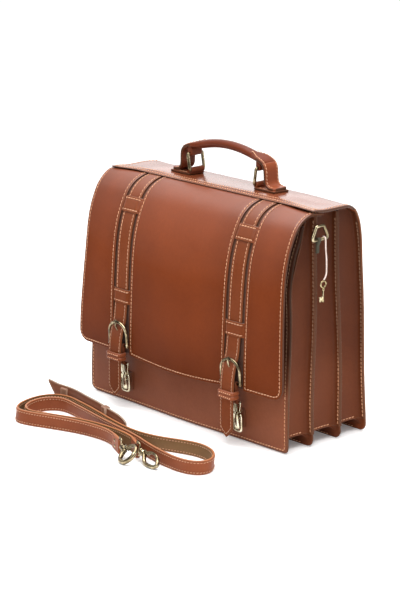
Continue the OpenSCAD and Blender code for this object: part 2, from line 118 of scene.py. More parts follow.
def rounded(pts, radius, closed=False, k=7):
    """The line with its corners rounded."""
    p = [np.asarray(q, float) for q in pts]
    n, out = len(p), []
    for i in range(n):
        if not closed and i in (0, n - 1):
            out.append(p[i])
            continue
        a, b, c = p[i - 1], p[i], p[(i + 1) % n]
        u, v = unit(a - b), unit(c - b)
        ang = math.acos(max(-1, min(1, float(u @ v))))
        r = radius[i] if hasattr(radius, "__len__") else radius
        t = min(r / max(math.tan(ang / 2), 1e-6), 0.49 * np.linalg.norm(a - b), 0.49 * np.linalg.norm(c - b))
        for s in np.linspace(0, 1, k):
            out.append((1 - s) ** 2 * (b + u * t) + 2 * s * (1 - s) * b + s * s * (b + v * t))
    return np.array(out)


def offs(p, d):
    """The line moved d to its left, with mitred corners."""
    p = np.asarray(p, float)
    t = unit(np.diff(p, axis=0))
    left = np.stack([-t[:, 1], t[:, 0]], -1)
    a, b = np.vstack([left[:1], left]), np.vstack([left, left[-1:]])
    return p + d * (a + b) / (1 + np.sum(a * b, axis=1, keepdims=True))


class Line:
    """Side profile through (y, z) points, by length along it; its inward side is on the left."""

    def __init__(self, pts, n=20):
        self.q = spline(pts, n)
        self.s = lengths(self.q)
        self.L = self.s[-1]
        self.tan = unit(np.gradient(self.q, self.s, axis=0))

    def at(self, t):
        t = np.asarray(t, float)
        c = np.clip(t, 0, self.L)
        y, z = np.interp(c, self.s, self.q[:, 0]), np.interp(c, self.s, self.q[:, 1])
        ty, tz = np.interp(c, self.s, self.tan[:, 0]), np.interp(c, self.s, self.tan[:, 1])
        n = np.hypot(ty, tz)
        ty, tz = ty / n, tz / n
        return y + (t - c) * ty, z + (t - c) * tz, -tz, ty

    def t_at(self, y=None, z=None):
        a = self.q[:, 0] - y if z is None else self.q[:, 1] - z
        i = np.where(a[:-1] * a[1:] <= 0)[0][0]
        return self.s[i] + (self.s[i + 1] - self.s[i]) * a[i] / (a[i] - a[i + 1] + 1e-12)


# ---------------------------------------------------------------- materials


def new_material(name):
    m = bpy.data.materials.new(name)
    m.use_nodes = True
    m.node_tree.nodes.clear()
    out = m.node_tree.nodes.new("ShaderNodeOutputMaterial")
    b = m.node_tree.nodes.new("ShaderNodeBsdfPrincipled")
    m.node_tree.links.new(b.outputs[0], out.inputs[0])
    return m, m.node_tree.nodes.new, m.node_tree.links.new, b


def mix(N, L, fac, a, b, kind="MIX"):
    n = N("ShaderNodeMix")
    n.data_type, n.blend_type = "RGBA", kind
    for i, v in ((0, fac), (6, a), (7, b)):
        if hasattr(v, "links"):
            L(v, n.inputs[i])
        else:
            n.inputs[i].default_value = v if i == 0 else (*v, 1)
    return n.outputs[2]


def noise(N, L, co, scale, detail=3, rough=0.55, distortion=0.0):
    n = N("ShaderNodeTexNoise")
    n.inputs["Scale"].default_value, n.inputs["Detail"].default_value = scale, detail
    n.inputs["Roughness"].default_value, n.inputs["Distortion"].default_value = rough, distortion
    L(co, n.inputs["Vector"])
    return n.outputs["Fac"]


def ramp(N, L, fac, *stops):
    n = N("ShaderNodeValToRGB")
    e = n.color_ramp.elements
    while len(e) < len(stops):
        e.new(0.5)
    for k, (at, c) in zip(e, stops):
        k.position, k.color = at, (*c, 1) if len(c) == 3 else (c[0],) * 3 + (1,)
    L(fac, n.inputs[0])
    return n.outputs[0]


def span(N, L, v, a, b, c, d):
    n = N("ShaderNodeMapRange")
    for i, x in enumerate((a, b, c, d)):
        n.inputs[1 + i].default_value = x
    L(v, n.inputs[0])
    return n.outputs[0]


def attribute(N, name):
    n = N("ShaderNodeAttribute")
    n.attribute_name = name
    return n.outputs["Fac"]


def bumps(N, L, b, *layers):
    """Bump layers, each (height, strength, distance in metres)."""
    last = None
    for h, s, d in layers:
        n = N("ShaderNodeBump")
        n.inputs["Strength"].default_value, n.inputs["Distance"].default_value = s, d
        L(h, n.inputs["Height"])
        if last:
            L(last, n.inputs["Normal"])
        last = n.outputs[0]
    L(last, b.inputs["Normal"])


def leather(name, dark, mid, light, rim, wall, rough=(0.36, 0.46), shine=(0.08, 0.55), cloud=7.0, pull=0.35, painted_shade=None, grain=1.0, painted_edge_shade=None, tilt=(0.15, 0.85), coat=0.0, painted_border_shade=None):
    m, N, L, b = new_material(name)
    b.inputs["Coat Weight"].default_value = coat
    b.inputs["Coat Roughness"].default_value = 0.24
    tc = N("ShaderNodeTexCoord")
    co = tc.outputs["Object"]
    base = ramp(N, L, noise(N, L, co, cloud, 4, 0.55, 0.4), (0.32, dark), (0.5, mid), (0.7, light))
    fleck = ramp(N, L, noise(N, L, co, 260, 4, 0.65), (0.3, (0.8,)), (0.7, (1.12,)))
    base = mix(N, L, pull, base, fleck, "MULTIPLY")
    # pores: small dark dots
    v = N("ShaderNodeTexVoronoi")
    v.inputs["Scale"].default_value = 950
    L(co, v.inputs["Vector"])
    base = mix(N, L, 0.35, base, ramp(N, L, v.outputs["Distance"], (0.05, (0.72,)), (0.28, (1.0,))), "MULTIPLY")
    # rubbed rim, and the cut wall of the edge
    edge = attribute(N, "edge")
    base = mix(N, L, span(N, L, edge, 0.9, 2.6, 0.55, 0.0), base, rim)
    base = mix(N, L, span(N, L, edge, 0.25, 0.75, 1.0, 0.0), base, wall)
    if painted_edge_shade:
        # painted shade: borders darker than the middle
        base = mix(N, L, 1.0, base, span(N, L, edge, *painted_edge_shade), "MULTIPLY")
    if painted_shade:
        # painted light and shade: colour scaled with height, standing in for how the light falls on the piece
        h = N("ShaderNodeSeparateXYZ")
        L(co, h.inputs[0])
        base = mix(N, L, 1.0, base, span(N, L, h.outputs[2], *painted_shade), "MULTIPLY")
    if painted_border_shade:
        # painted shade: borders darkened above a given height
        h = N("ShaderNodeSeparateXYZ")
        L(co, h.inputs[0])
        deep = mix(N, L, 1.0, base, (painted_border_shade[4],) * 3, "MULTIPLY")
        deep = mix(N, L, span(N, L, h.outputs[2], painted_border_shade[2], painted_border_shade[3], 0.0, 1.0), base, deep)
        base = mix(N, L, span(N, L, edge, painted_border_shade[0], painted_border_shade[1], 1.0, 0.0), base, deep)
    L(base, b.inputs["Base Color"])
    L(span(N, L, noise(N, L, co, 42, 4, 0.6), 0.3, 0.7, rough[0], rough[1]), b.inputs["Roughness"])
    # painted highlight: reflection strength set by which way a face looks, stronger on faces that look up
    xyz = N("ShaderNodeSeparateXYZ")
    L(tc.outputs["Normal"], xyz.inputs[0])
    L(span(N, L, xyz.outputs[2], tilt[0], tilt[1], shine[0], shine[1]), b.inputs["Specular IOR Level"])
    bumps(N, L, b, (noise(N, L, co, 30, 3, 0.5, 0.6), 0.10 * grain, 0.002), (noise(N, L, co, 480, 3, 0.6), 0.16 * grain, 0.0004),
          (v.outputs["Distance"], 0.20 * grain, 0.0002))
    return m


def suede(name, dark, light):
    m, N, L, b = new_material(name)
    co = N("ShaderNodeTexCoord").outputs["Object"]
    base = ramp(N, L, noise(N, L, co, 24, 5, 0.65), (0.3, dark), (0.7, light))
    base = mix(N, L, 0.5, base, ramp(N, L, noise(N, L, co, 900, 3, 0.7), (0.3, (0.6,)), (0.7, (1.2,))), "MULTIPLY")
    L(base, b.inputs["Base Color"])
    b.inputs["Roughness"].default_value = 0.92
    b.inputs["Sheen Weight"].default_value = 0.06
    b.inputs["Sheen Roughness"].default_value = 0.5
    bumps(N, L, b, (noise(N, L, co, 1300, 3, 0.7), 0.5, 0.0004))
    return m


def metal(name, dark, mid, light, rough=(0.2, 0.42)):
    m, N, L, b = new_material(name)
    co = N("ShaderNodeTexCoord").outputs["Object"]
    base = ramp(N, L, noise(N, L, co, 85, 3, 0.55, 0.4), (0.34, dark), (0.5, mid), (0.66, light))
    L(base, b.inputs["Base Color"])
    b.inputs["Metallic"].default_value = 1.0
    L(span(N, L, noise(N, L, co, 240, 4, 0.6), 0.3, 0.7, rough[0], rough[1]), b.inputs["Roughness"])
    bumps(N, L, b, (noise(N, L, co, 900, 3, 0.6), 0.025, 0.0002))
    return m


def thread(name, a, c, painted_shade=None):
    m, N, L, b = new_material(name)
    co = N("ShaderNodeTexCoord").outputs["Object"]
    base = ramp(N, L, noise(N, L, co, 180, 3, 0.6), (0.3, a), (0.7, c))
    # painted shade: thread made darker with height
    if painted_shade:
        h = N("ShaderNodeSeparateXYZ")
        L(co, h.inputs[0])
        base = mix(N, L, 1.0, base, span(N, L, h.outputs[2], *painted_shade), "MULTIPLY")
    L(base, b.inputs["Base Color"])
    b.inputs["Roughness"].default_value = 0.62
    b.inputs["Sheen Weight"].default_value = 0.2
    w = N("ShaderNodeTexWave")
    w.wave_type, w.bands_direction = "BANDS", "DIAGONAL"
    w.inputs["Scale"].default_value = 700
    L(co, w.inputs["Vector"])
    bumps(N, L, b, (w.outputs["Fac"], 0.4, 0.0003))
    return m


BURNT = (0.075, 0.027, 0.013)
BROWN = (0.115, 0.043, 0.022)
# flap leather: painted light and shade, lighter towards the top and darker towards its borders
LEATHER = leather("leather", (0.152, 0.030, 0.0068), (0.176, 0.0355, 0.0082), (0.202, 0.042, 0.0102), (0.235, 0.058, 0.018), BROWN, shine=(0.04, 0.8), painted_shade=(0.09, 0.27, 0.84, 1.08),
                  painted_edge_shade=(6, 55, 0.84, 1.05), tilt=(0.10, 0.62))
# front panel leather: painted shade, darker with height and along its borders where the flap shades it
FRONT_LEATHER = leather("leather_front", (0.182, 0.053, 0.024), (0.210, 0.063, 0.0295), (0.238, 0.075, 0.036), (0.235, 0.080, 0.038), (0.17, 0.075, 0.04), painted_shade=(0.085, 0.29, 0.94, 0.60), painted_edge_shade=(1.5, 6, 0.72, 1.0), painted_border_shade=(6, 20, 0.085, 0.135, 0.34))
BACK_LEATHER = leather("leather_back", (0.150, 0.037, 0.013), (0.175, 0.044, 0.016), (0.200, 0.053, 0.020), (0.22, 0.068, 0.028), (0.17, 0.075, 0.04), shine=(0.04, 0.7))
LIT = leather("leather_lit", (0.140, 0.033, 0.0102), (0.164, 0.0395, 0.0125), (0.192, 0.048, 0.0165), (0.235, 0.068, 0.025), (0.14, 0.047, 0.02), shine=(0.04, 0.7))
TOP = leather("leather_top", (0.146, 0.034, 0.0118), (0.168, 0.040, 0.014), (0.194, 0.048, 0.018), (0.21, 0.066, 0.027), BURNT, (0.24, 0.30), (0.1, 0.95), grain=0.14, coat=0.28)
# side leather: painted shade, darker towards the top under the lid
SIDE = leather("leather_side", (0.128, 0.033, 0.0125), (0.150, 0.040, 0.015), (0.174, 0.0485, 0.0195), (0.18, 0.06, 0.027), (0.135, 0.056, 0.030), painted_shade=(0.06, 0.31, 0.88, 0.52))
HANDLE = leather("leather_handle", (0.105, 0.0215, 0.0085), (0.132, 0.0275, 0.0108), (0.160, 0.035, 0.014), (0.15, 0.040, 0.017), BURNT, (0.28, 0.38), (0.1, 0.16))
# lighter copy of the handle leather, for the right foot: painted light
FOOT_LIT = leather("leather_foot_lit", (0.175, 0.040, 0.0145), (0.215, 0.050, 0.018), (0.255, 0.063, 0.024), (0.22, 0.062, 0.025), BURNT, (0.28, 0.38), (0.1, 0.3))
STRAP = leather("leather_strap", (0.182, 0.047, 0.0185), (0.218, 0.058, 0.023), (0.255, 0.071, 0.029), (0.30, 0.095, 0.038), (0.37, 0.140, 0.056))
PAD = leather("leather_pad", (0.185, 0.068, 0.038), (0.225, 0.085, 0.048), (0.27, 0.105, 0.060), (0.25, 0.125, 0.078), (0.31, 0.22, 0.155))
PALE_LEATHER = leather("leather_pale", (0.22, 0.105, 0.062), (0.26, 0.13, 0.08), (0.30, 0.155, 0.10), (0.30, 0.17, 0.11), (0.24, 0.14, 0.085))
CHAPE = leather("leather_chape", (0.09, 0.022, 0.008), (0.115, 0.028, 0.0105), (0.14, 0.036, 0.014), (0.12, 0.036, 0.015), BURNT)
FLESH = leather("flesh_side", (0.125, 0.063, 0.027), (0.175, 0.094, 0.043), (0.235, 0.133, 0.066), (0.22, 0.10, 0.042), (0.42, 0.145, 0.05), (0.5, 0.62), (0.05, 0.2))
OLIVE = suede("olive_tab", (0.030, 0.027, 0.014), (0.060, 0.052, 0.028))
LINING = suede("lining", (0.060, 0.020, 0.009), (0.105, 0.036, 0.016))
BRASS = metal("antique_brass", (0.085, 0.064, 0.037), (0.26, 0.205, 0.12), (0.54, 0.45, 0.29), (0.12, 0.22))
CLIP_METAL = metal("clip_brass", (0.30, 0.25, 0.15), (0.60, 0.53, 0.36), (0.86, 0.80, 0.61), (0.14, 0.26))
PALE = metal("pale_brass", (0.30, 0.235, 0.12), (0.48, 0.39, 0.22), (0.66, 0.57, 0.37), (0.16, 0.3))
THREAD = thread("thread", (0.54, 0.25, 0.122), (0.70, 0.36, 0.19))
# body thread: painted shade, darker higher up
THREAD_BAG = thread("thread_body", (0.58, 0.258, 0.116), (0.76, 0.38, 0.19), painted_shade=(0.078, 0.13, 1.0, 0.36))
THREAD_TAIL = thread("thread_tail", (0.40, 0.185, 0.095), (0.54, 0.28, 0.155))
THREAD_BELT = thread("thread_strap", (0.42, 0.185, 0.085), (0.56, 0.28, 0.145))
CORD = thread("key_cord", (0.72, 0.54, 0.46), (0.88, 0.74, 0.67))

# ---------------------------------------------------------------- mesh builders


def mesh(name, verts, faces, material, edge=None, second=None):
    me = bpy.data.meshes.new(name)
    me.from_pydata((np.asarray(verts, float) * MM).tolist(), [], [tuple(int(i) for i in f) for f in faces])
    bm = bmesh.new()
    bm.from_mesh(me)
    bmesh.ops.recalc_face_normals(bm, faces=bm.faces)
    bm.to_mesh(me)
    bm.free()
    me.shade_smooth()
    a = me.attributes.new("edge", "FLOAT", "POINT")
    a.data.foreach_set("value", np.asarray(edge if edge is not None else np.full(len(verts), 9.0), np.float32))
    me.materials.append(material)
    if second:
        # another leather on the faces from second[1] to second[2]
        me.materials.append(second[0])
        index = np.zeros(len(me.polygons), np.int32)
        index[second[1] : second[2]] = 1
        me.polygons.foreach_set("material_index", index)
    o = bpy.data.objects.new(name, me)
    bpy.context.scene.collection.objects.link(o)
    return o


def grid_faces(n, m, base=0, wrap_i=False, wrap_j=False):
    i, j = np.meshgrid(np.arange(n if wrap_i else n - 1), np.arange(m if wrap_j else m - 1), indexing="ij")
    i2, j2 = (i + 1) % n, (j + 1) % m
    return (np.stack([i * m + j, i * m + j2, i2 * m + j2, i2 * m + j], -1).reshape(-1, 4) + base).tolist()


class Build:
    """Collects parts of one piece."""

    def __init__(self):
        self.v, self.f, self.e, self.n = [], [], [], 0

    def add(self, verts, faces, edge=None):
        verts = np.asarray(verts, float).reshape(-1, 3)
        self.v.append(verts)
        self.f += [[i + self.n for i in q] for q in faces]
        self.e.append(np.full(len(verts), 9.0) if edge is None else np.asarray(edge, float).ravel())
        self.n += len(verts)
        return self

    def done(self, name, material, slot=None, second=None):
        return mesh(name, np.concatenate(self.v), self.f, material, np.concatenate(self.e), second)


def round_depth(e, r):
    k = np.clip(r - np.maximum(e, 0), 0, r)
    return r - np.sqrt(np.maximum(r * r - k * k, 0))


def shell(F, U, V, e, T, r=None, d0=0.0, groove=(), wrap=False):
    """Closed sheet of thickness T over the parameter grid, with rounded edges and sewing grooves."""
    r = 0.44 * np.min(T) if r is None else r
    do = round_depth(e, r)
    di = T - do
    for at, deep, wide in groove:
        do = do + deep * np.exp(-(((e - at) / wide) ** 2))
    a, b = F(U, V, d0 + do), F(U, V, d0 + di)
    n, m = U.shape
    k = n * m
    faces = grid_faces(n, m, 0, False, wrap) + [q[::-1] for q in grid_faces(n, m, k, False, wrap)]
    if wrap:
        rim = [[(i * m + j, i * m + (j + 1) % m) for j in range(m)] for i in (0, n - 1)]
        pairs = rim[0] + [p[::-1] for p in rim[1]]
    else:
        loop = [j for j in range(m)] + [i * m + m - 1 for i in range(1, n)]
        loop += [(n - 1) * m + j for j in range(m - 2, -1, -1)] + [i * m for i in range(n - 2, 0, -1)]
        pairs = list(zip(loop, loop[1:] + loop[:1]))
    faces += [[p, p + k, q + k, q] for p, q in pairs]
    return np.concatenate([a.reshape(-1, 3), b.reshape(-1, 3)]), faces, np.concatenate([e.ravel(), e.ravel()])


def fine(a, b, step, r=1.2, extra=()):
    """Places from a to b, close together near both ends."""
    o = [0, 0.1 * r, 0.35 * r, 0.75 * r, 1.2 * r] + list(extra)
    o = [x for x in o if x < 0.45 * (b - a)]
    lo, hi = [a + x for x in o], [b - x for x in o][::-1]
    n = max(1, int(round((hi[0] - lo[-1]) / step)))
    return np.array(lo + list(np.linspace(lo[-1], hi[0], n + 1)[1:-1]) + hi)


SEWN = (2.6, 3.4, 4.0, 4.6, 5.4, 7.0)
GROOVE = ((4.0, 0.45, 0.9),)


def panel_grid(xl, xr, t0, t1, RL=0.0, RR=0.0, du=9.0, dv=9.0, r=1.2, extra=SEWN, top=True):
    """Grid over a panel from xl to xr and from t0 down to t1, with round bottom corners, and each point's distance from the edge."""
    tau = (fine(xl, xr, du, r, extra) - xl) / (xr - xl)
    R = max(RL, RR)
    o = [0, 0.1 * r, 0.35 * r, 0.75 * r, 1.2 * r] + list(extra)
    o = [x for x in o if x < 0.45 * (t1 - t0)]
    up = [t0 + x for x in o] if top else [t0]
    low = list(t1 - R + R * np.sin(np.linspace(0, math.pi / 2, 16))) if R > 0 else [t1 - x for x in o][::-1]
    n = max(1, int(round((low[0] - up[-1]) / dv)))
    rows = np.array(up + list(np.linspace(up[-1], low[0], n + 1)[1:-1]) + low)

    def inset(q):
        return np.where(rows > t1 - q, q - np.sqrt(np.maximum(q * q - (rows - (t1 - q)) ** 2, 0)), 0) if q > 0 else 0 * rows

    a, b = xl + inset(RL), xr - inset(RR)
    U = a[:, None] + (b - a)[:, None] * tau[None, :]
    V = np.repeat(rows[:, None], len(tau), 1)
    e = np.minimum(np.minimum(U - xl, xr - U), t1 - V)
    if top:
        e = np.minimum(e, V - t0)
    for q, c, s in ((RL, xl + RL, -1), (RR, xr - RR, 1)):
        if q > 0:
            m = ((U - c) * s > 0) & (V > t1 - q)
            e = np.where(m, q - np.hypot(U - c, V - (t1 - q)), e)
    return U, V, np.maximum(e, 0)


def frames(P, closed=False, up=None):
    """Tangent and two cross directions along a line."""
    P = np.asarray(P, float)
    T = unit(np.roll(P, -1, 0) - np.roll(P, 1, 0)) if closed else unit(np.gradient(P, axis=0))
    if up is not None:
        U = np.repeat(unit(np.asarray(up, float))[None, :], len(P), 0)
        return T, U, unit(np.cross(T, U))
    U = np.zeros_like(P)
    a = np.array([1.0, 0, 0]) if abs(T[0][0]) < 0.8 else np.array([0, 1.0, 0])
    U[0] = unit(a - (a @ T[0]) * T[0])
    for i in range(1, len(P)):
        U[i] = unit(U[i - 1] - (U[i - 1] @ T[i]) * T[i])
    return T, U, np.cross(T, U)


def tube(P, r, n=14, closed=False, up=None, flat=1.0, taper=None):
    """Round wire along a line, with round ends; flat squeezes it along the second cross direction."""
    P = np.asarray(P, float)
    T, U, V = frames(P, closed, up)
    R = np.full(len(P), float(r)) if taper is None else r * np.asarray(taper, float)
    if not closed:
        k = np.array([0.92, 0.7, 0.35])
        s = np.sqrt(1 - k * k)
        head = [(P[0] - T[0] * R[0] * a, T[0], U[0], V[0], R[0] * b) for a, b in zip(k, s)]
        tail = [(P[-1] + T[-1] * R[-1] * a, T[-1], U[-1], V[-1], R[-1] * b) for a, b in zip(k[::-1], s[::-1])]
        P = np.vstack([[h[0] for h in head], P, [h[0] for h in tail]])
        U = np.vstack([[h[2] for h in head], U, [h[2] for h in tail]])
        V = np.vstack([[h[3] for h in head], V, [h[3] for h in tail]])
        R = np.concatenate([[h[4] for h in head], R, [h[4] for h in tail]])
    a = np.linspace(0, 2 * math.pi, n, endpoint=False)
    pts = P[:, None] + R[:, None, None] * (np.cos(a)[None, :, None] * U[:, None] + flat * np.sin(a)[None, :, None] * V[:, None])
    m = len(P)
    faces = grid_faces(m, n, 0, closed, True)
    if not closed:
        faces += [list(range(n))[::-1], [(m - 1) * n + k for k in range(n)]]
    return pts.reshape(-1, 3), faces


def sweep(P, section, closed=False, up=(0, 0, 1)):
    """A closed section of (across, up) points drawn along a line; across points to the left of travel."""
    P = np.asarray(P, float)
    T, U, _ = frames(P, closed, up)
    A = unit(np.cross(U, T))
    S = np.asarray(section, float)
    pts = P[:, None] + S[None, :, 0, None] * A[:, None] + S[None, :, 1, None] * U[:, None]
    n, m = len(P), len(S)
    faces = grid_faces(n, m, 0, closed, True)
    if not closed:
        faces += [list(range(m))[::-1], [(n - 1) * m + k for k in range(m)]]
    return pts.reshape(-1, 3), faces


def lathe(profile, origin, axis, n=24):
    """Turned shape: (height, radius) points round an axis."""
    axis = unit(axis)
    a = np.array([1.0, 0, 0]) if abs(axis[0]) < 0.8 else np.array([0, 1.0, 0])
    u = unit(a - (a @ axis) * axis)
    v = np.cross(axis, u)
    ang = np.linspace(0, 2 * math.pi, n, endpoint=False)
    pts = [np.asarray(origin, float) + h * axis + r * (np.cos(ang)[:, None] * u + np.sin(ang)[:, None] * v) for h, r in profile]
    m = len(profile)
    faces = grid_faces(m, n, 0, False, True) + [list(range(n))[::-1], [(m - 1) * n + k for k in range(n)]]
    return np.concatenate(pts), faces


def inset_loop(P, d):
    """A closed outline moved inwards by d."""
    t0, t1 = unit(P - np.roll(P, 1, 0)), unit(np.roll(P, -1, 0) - P)
    area = 0.5 * np.sum(P[:, 0] * np.roll(P[:, 1], -1) - np.roll(P[:, 0], -1) * P[:, 1])
    s = 1 if area > 0 else -1
    n0, n1 = np.stack([-t0[:, 1], t0[:, 0]], -1) * s, np.stack([-t1[:, 1], t1[:, 0]], -1) * s
    return P + d * (n0 + n1) / np.maximum(1 + np.sum(n0 * n1, axis=1, keepdims=True), 0.35)


def slab(P, h0, h1, place, r=0.8):
    """A closed outline drawn out from h0 to h1 with rounded rims; place(p, h) gives the points."""
    P = np.asarray(P, float)
    rings, edge = [], []
    for k in np.linspace(0, math.pi / 2, 5):
        rings.append(place(inset_loop(P, r * (1 - math.sin(k))), h0 + r * (1 - math.cos(k))))
        edge.append(r * (1 - math.cos(k)))
    for k in np.linspace(math.pi / 2, 0, 5):
        rings.append(place(inset_loop(P, r * (1 - math.sin(k))), h1 - r * (1 - math.cos(k))))
        edge.append(r * (1 - math.cos(k)))
    n, m = len(rings), len(P)
    faces = grid_faces(n, m, 0, False, True) + [list(range(m))[::-1], [(n - 1) * m + k for k in range(m)]]
    return np.concatenate(rings), faces, np.full(n * m, 1.4)


# ---------------------------------------------------------------- sewing

sewing = {}


def sew(key, P, N, pitch=5.2, length=4.3, width=1.45, height=0.66, tilt=6.0):
    """A row of stitches along the points P, whose outward directions are N."""
    P, N = np.asarray(P, float), np.asarray(N, float)
    s = lengths(P)
    n = int(s[-1] / pitch)
    if n < 1:
        return
    c = (np.arange(n) + 0.5) * s[-1] / n

    def at(t):
        return np.stack([np.interp(t, s, P[:, k]) for k in range(3)], -1)

    C = at(c)
    T = unit(at(c + 0.6) - at(c - 0.6))
    M = unit(np.stack([np.interp(c, s, N[:, k]) for k in range(3)], -1))
    M = unit(M - np.sum(M * T, -1, keepdims=True) * T)
    B = np.cross(M, T)
    a = math.radians(tilt)
    T, B = T * math.cos(a) + B * math.sin(a), B * math.cos(a) - T * math.sin(a)
    tau = np.array([-1.0, -0.72, 0.0, 0.72, 1.0])
    rise = height * (1 - tau**2) - 0.42 * tau**4
    girth = np.array([0.35, 0.85, 1.0, 0.85, 0.35])
    ang = np.linspace(0, 2 * math.pi, 6, endpoint=False)
    v = (C[:, None, None] + (tau * length / 2)[None, :, None, None] * T[:, None, None]
         + rise[None, :, None, None] * M[:, None, None]
         + (girth[:, None] * np.cos(ang)[None, :] * width / 2)[None, :, :, None] * B[:, None, None]
         + (girth[:, None] * np.sin(ang)[None, :] * 0.42)[None, :, :, None] * M[:, None, None])
    one = grid_faces(5, 6, 0, False, True) + [[5, 4, 3, 2, 1, 0], [24, 25, 26, 27, 28, 29]]
    faces = [[i + 30 * k for i in q] for k in range(n) for q in one]
    sewing.setdefault(key, Build()).add(v.reshape(-1, 3), faces)


def seam(key, F, pts, radius=0.0, deep=0.2, step=1.5, **kw):
    """Stitches on a surface along a line of (s, t) points."""
    q = rounded(pts, radius) if radius else np.asarray(pts, float)
    q = resample(q, step)
    P = F(q[:, 0], q[:, 1], np.full(len(q), deep))
    N = unit(F(q[:, 0], q[:, 1], np.full(len(q), deep - 1.0)) - P)
    sew(key, P, N, **kw)


# ---------------------------------------------------------------- joints of the soft leather

LID_BEND = dict(a="bag", b="lid", start=(0, 0.071, 0.306), end=(0, 0.052, 0.318))
FLAP_BEND = dict(a="lid", b="flap", start=(0, -0.0172, 0.3150), end=(0, -0.0350, 0.3050))
TAIL_BEND = {
    s: dict(a="flap", b=n + "_tail", start=(s * 0.115, -0.0715, 0.150), end=(s * 0.115, -0.0755, 0.130))
    for s, n in ((-1, "left"), (1, "right"))
}


def bend(o, how):
    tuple(how["start"])
    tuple(how["end"])
    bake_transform(o)
    return o


def put(o, body, *nodes):
    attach(o, body)
    if nodes:
        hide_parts(*nodes)
    return o


SIDES = ((-1, "left"), (1, "right"))

# ---------------------------------------------------------------- shoulder strap on the floor

belt_route = np.array([[44.8, -210.8], [30, -203.8], [8, -195.5], [-20, -192.6], [-60, -199], [-100, -212.5], [-132, -225], [-155, -228.5],
    [-171, -214.5], [-180, -191], [-181, -166], [-170, -147], [-148, -141], [-120, -146], [-80, -153], [-40, -162], [0, -169],
    [35, -171], [70, -165], [104, -151], [130, -145], [156, -150], [176, -164], [185, -182], [178, -197], [154, -204],
    [115, -201], [80, -194], [40, -183], [0, -177], [-40, -170], [-80, -162], [-120, -155], [-148, -151], [-166, -162],
    [-171, -182], [-163, -205], [-147, -217.5], [-129, -216.5], [-100, -205.5], [-60, -192.5], [-20, -186.8], [20, -187],
    [46, -191.8], [60, -198.6], [72.6, -205.2]], float)


def cut_corners(p):
    out = [p[0]]
    for a, b in zip(p[:-1], p[1:]):
        out += [0.75 * a + 0.25 * b, 0.25 * a + 0.75 * b]
    return np.array(out + [p[-1]])


belt_line = resample(cut_corners(cut_corners(cut_corners(belt_route))), 3.0)
belt_s = lengths(belt_line)
belt_n = unit(np.gradient(belt_line, axis=0))
belt_n = np.stack([-belt_n[:, 1], belt_n[:, 0]], -1)


def F_belt(l, v, d):
    """Strap on its edge: l along it, v up, d through it from its left face."""
    l, v, d = np.broadcast_arrays(np.asarray(l, float), v, d)
    x, y = np.interp(l, belt_s, belt_line[:, 0]), np.interp(l, belt_s, belt_line[:, 1])
    nx, ny = np.interp(l, belt_s, belt_n[:, 0]), np.interp(l, belt_s, belt_n[:, 1])
    lean = 0.9 * np.sin(l / 47.0) * (v - 10) / 10
    k = 1.5 - d + lean
    return np.stack([x + nx * k, y + ny * k, v + 0 * l], -1)


def strap_on_floor():
    l = np.concatenate([[0, 0.6, 1.6], np.arange(4, belt_s[-1] - 3, 3.0), [belt_s[-1] - 1.6, belt_s[-1] - 0.6, belt_s[-1]]])
    v = fine(0.15, 20.0, 2.6, 1.2, (2.2, 3.0, 3.8))
    U, V = np.meshgrid(l, v, indexing="ij")
    e = np.minimum(V - 0.15, 20 - V)
    e = np.minimum(e, np.minimum(U, belt_s[-1] - U) + 0.4)
    b = Build().add(*shell(F_belt, U, V, e, 3.0, 1.2, groove=((3.0, 0.3, 0.7),)))
    g = (len(l) - 1) * (len(v) - 1)
    o = b.done("shoulder_strap", STRAP, "leather_lit", (FLESH, g, 2 * g))
    put(o, "shoulder_strap", "belt")
    for z in (3.3, 16.8):
        q = np.stack([np.arange(30, belt_s[-1] - 30, 2.0), np.full(len(np.arange(30, belt_s[-1] - 30, 2.0)), z)], -1)
        seam("belt", F_belt, q, deep=0.1, pitch=4.4, length=3.3, width=1.2, height=0.5)
        P = F_belt(q[:, 0], q[:, 1], np.full(len(q), 2.9))
        sew("belt", P, unit(F_belt(q[:, 0], q[:, 1], np.full(len(q), 3.9)) - P), pitch=4.4, length=3.3, width=1.2, height=0.5)
    return o


belt = strap_on_floor()

pad_pts = np.array([[-188, -147], [-170, -137.5], [-148, -135], [-120, -140.2], [-80, -147.2], [-40, -156.2], [-4, -162.6]], float)
pad_line = resample(spline(pad_pts), 2.0)
pad_s = lengths(pad_line)
pad_n = unit(np.gradient(pad_line, axis=0))
pad_n = np.stack([-pad_n[:, 1], pad_n[:, 0]], -1)


def F_pad(l, v, d):
    """Shoulder pad standing behind the strap: crowned between its sewn edges."""
    l, v, d = np.broadcast_arrays(np.asarray(l, float), v, d)
    x, y = np.interp(l, pad_s, pad_line[:, 0]), np.interp(l, pad_s, pad_line[:, 1])
    nx, ny = np.interp(l, pad_s, pad_n[:, 0]), np.interp(l, pad_s, pad_n[:, 1])
    k = 5.0 - d + 1.0 * np.sin(l / 40) * v / 37
    return np.stack([x + nx * k, y + ny * k, v], -1)


PAD_TOP = spline([[0, 36.8], [6, 34.4], [13, 31.6], [28, 28.9], [48, 27.8], [70, 27.6], [100, 27.4], [130, 27.0], [175, 26.6]], 12)


def pad_top(l):
    L = pad_s[-1]
    end = np.clip((l - (L - 30)) / 30.5, 0, 1)
    return np.interp(l, PAD_TOP[:, 0], PAD_TOP[:, 1]) - 9.5 * (1 - np.sqrt(1 - end**2))


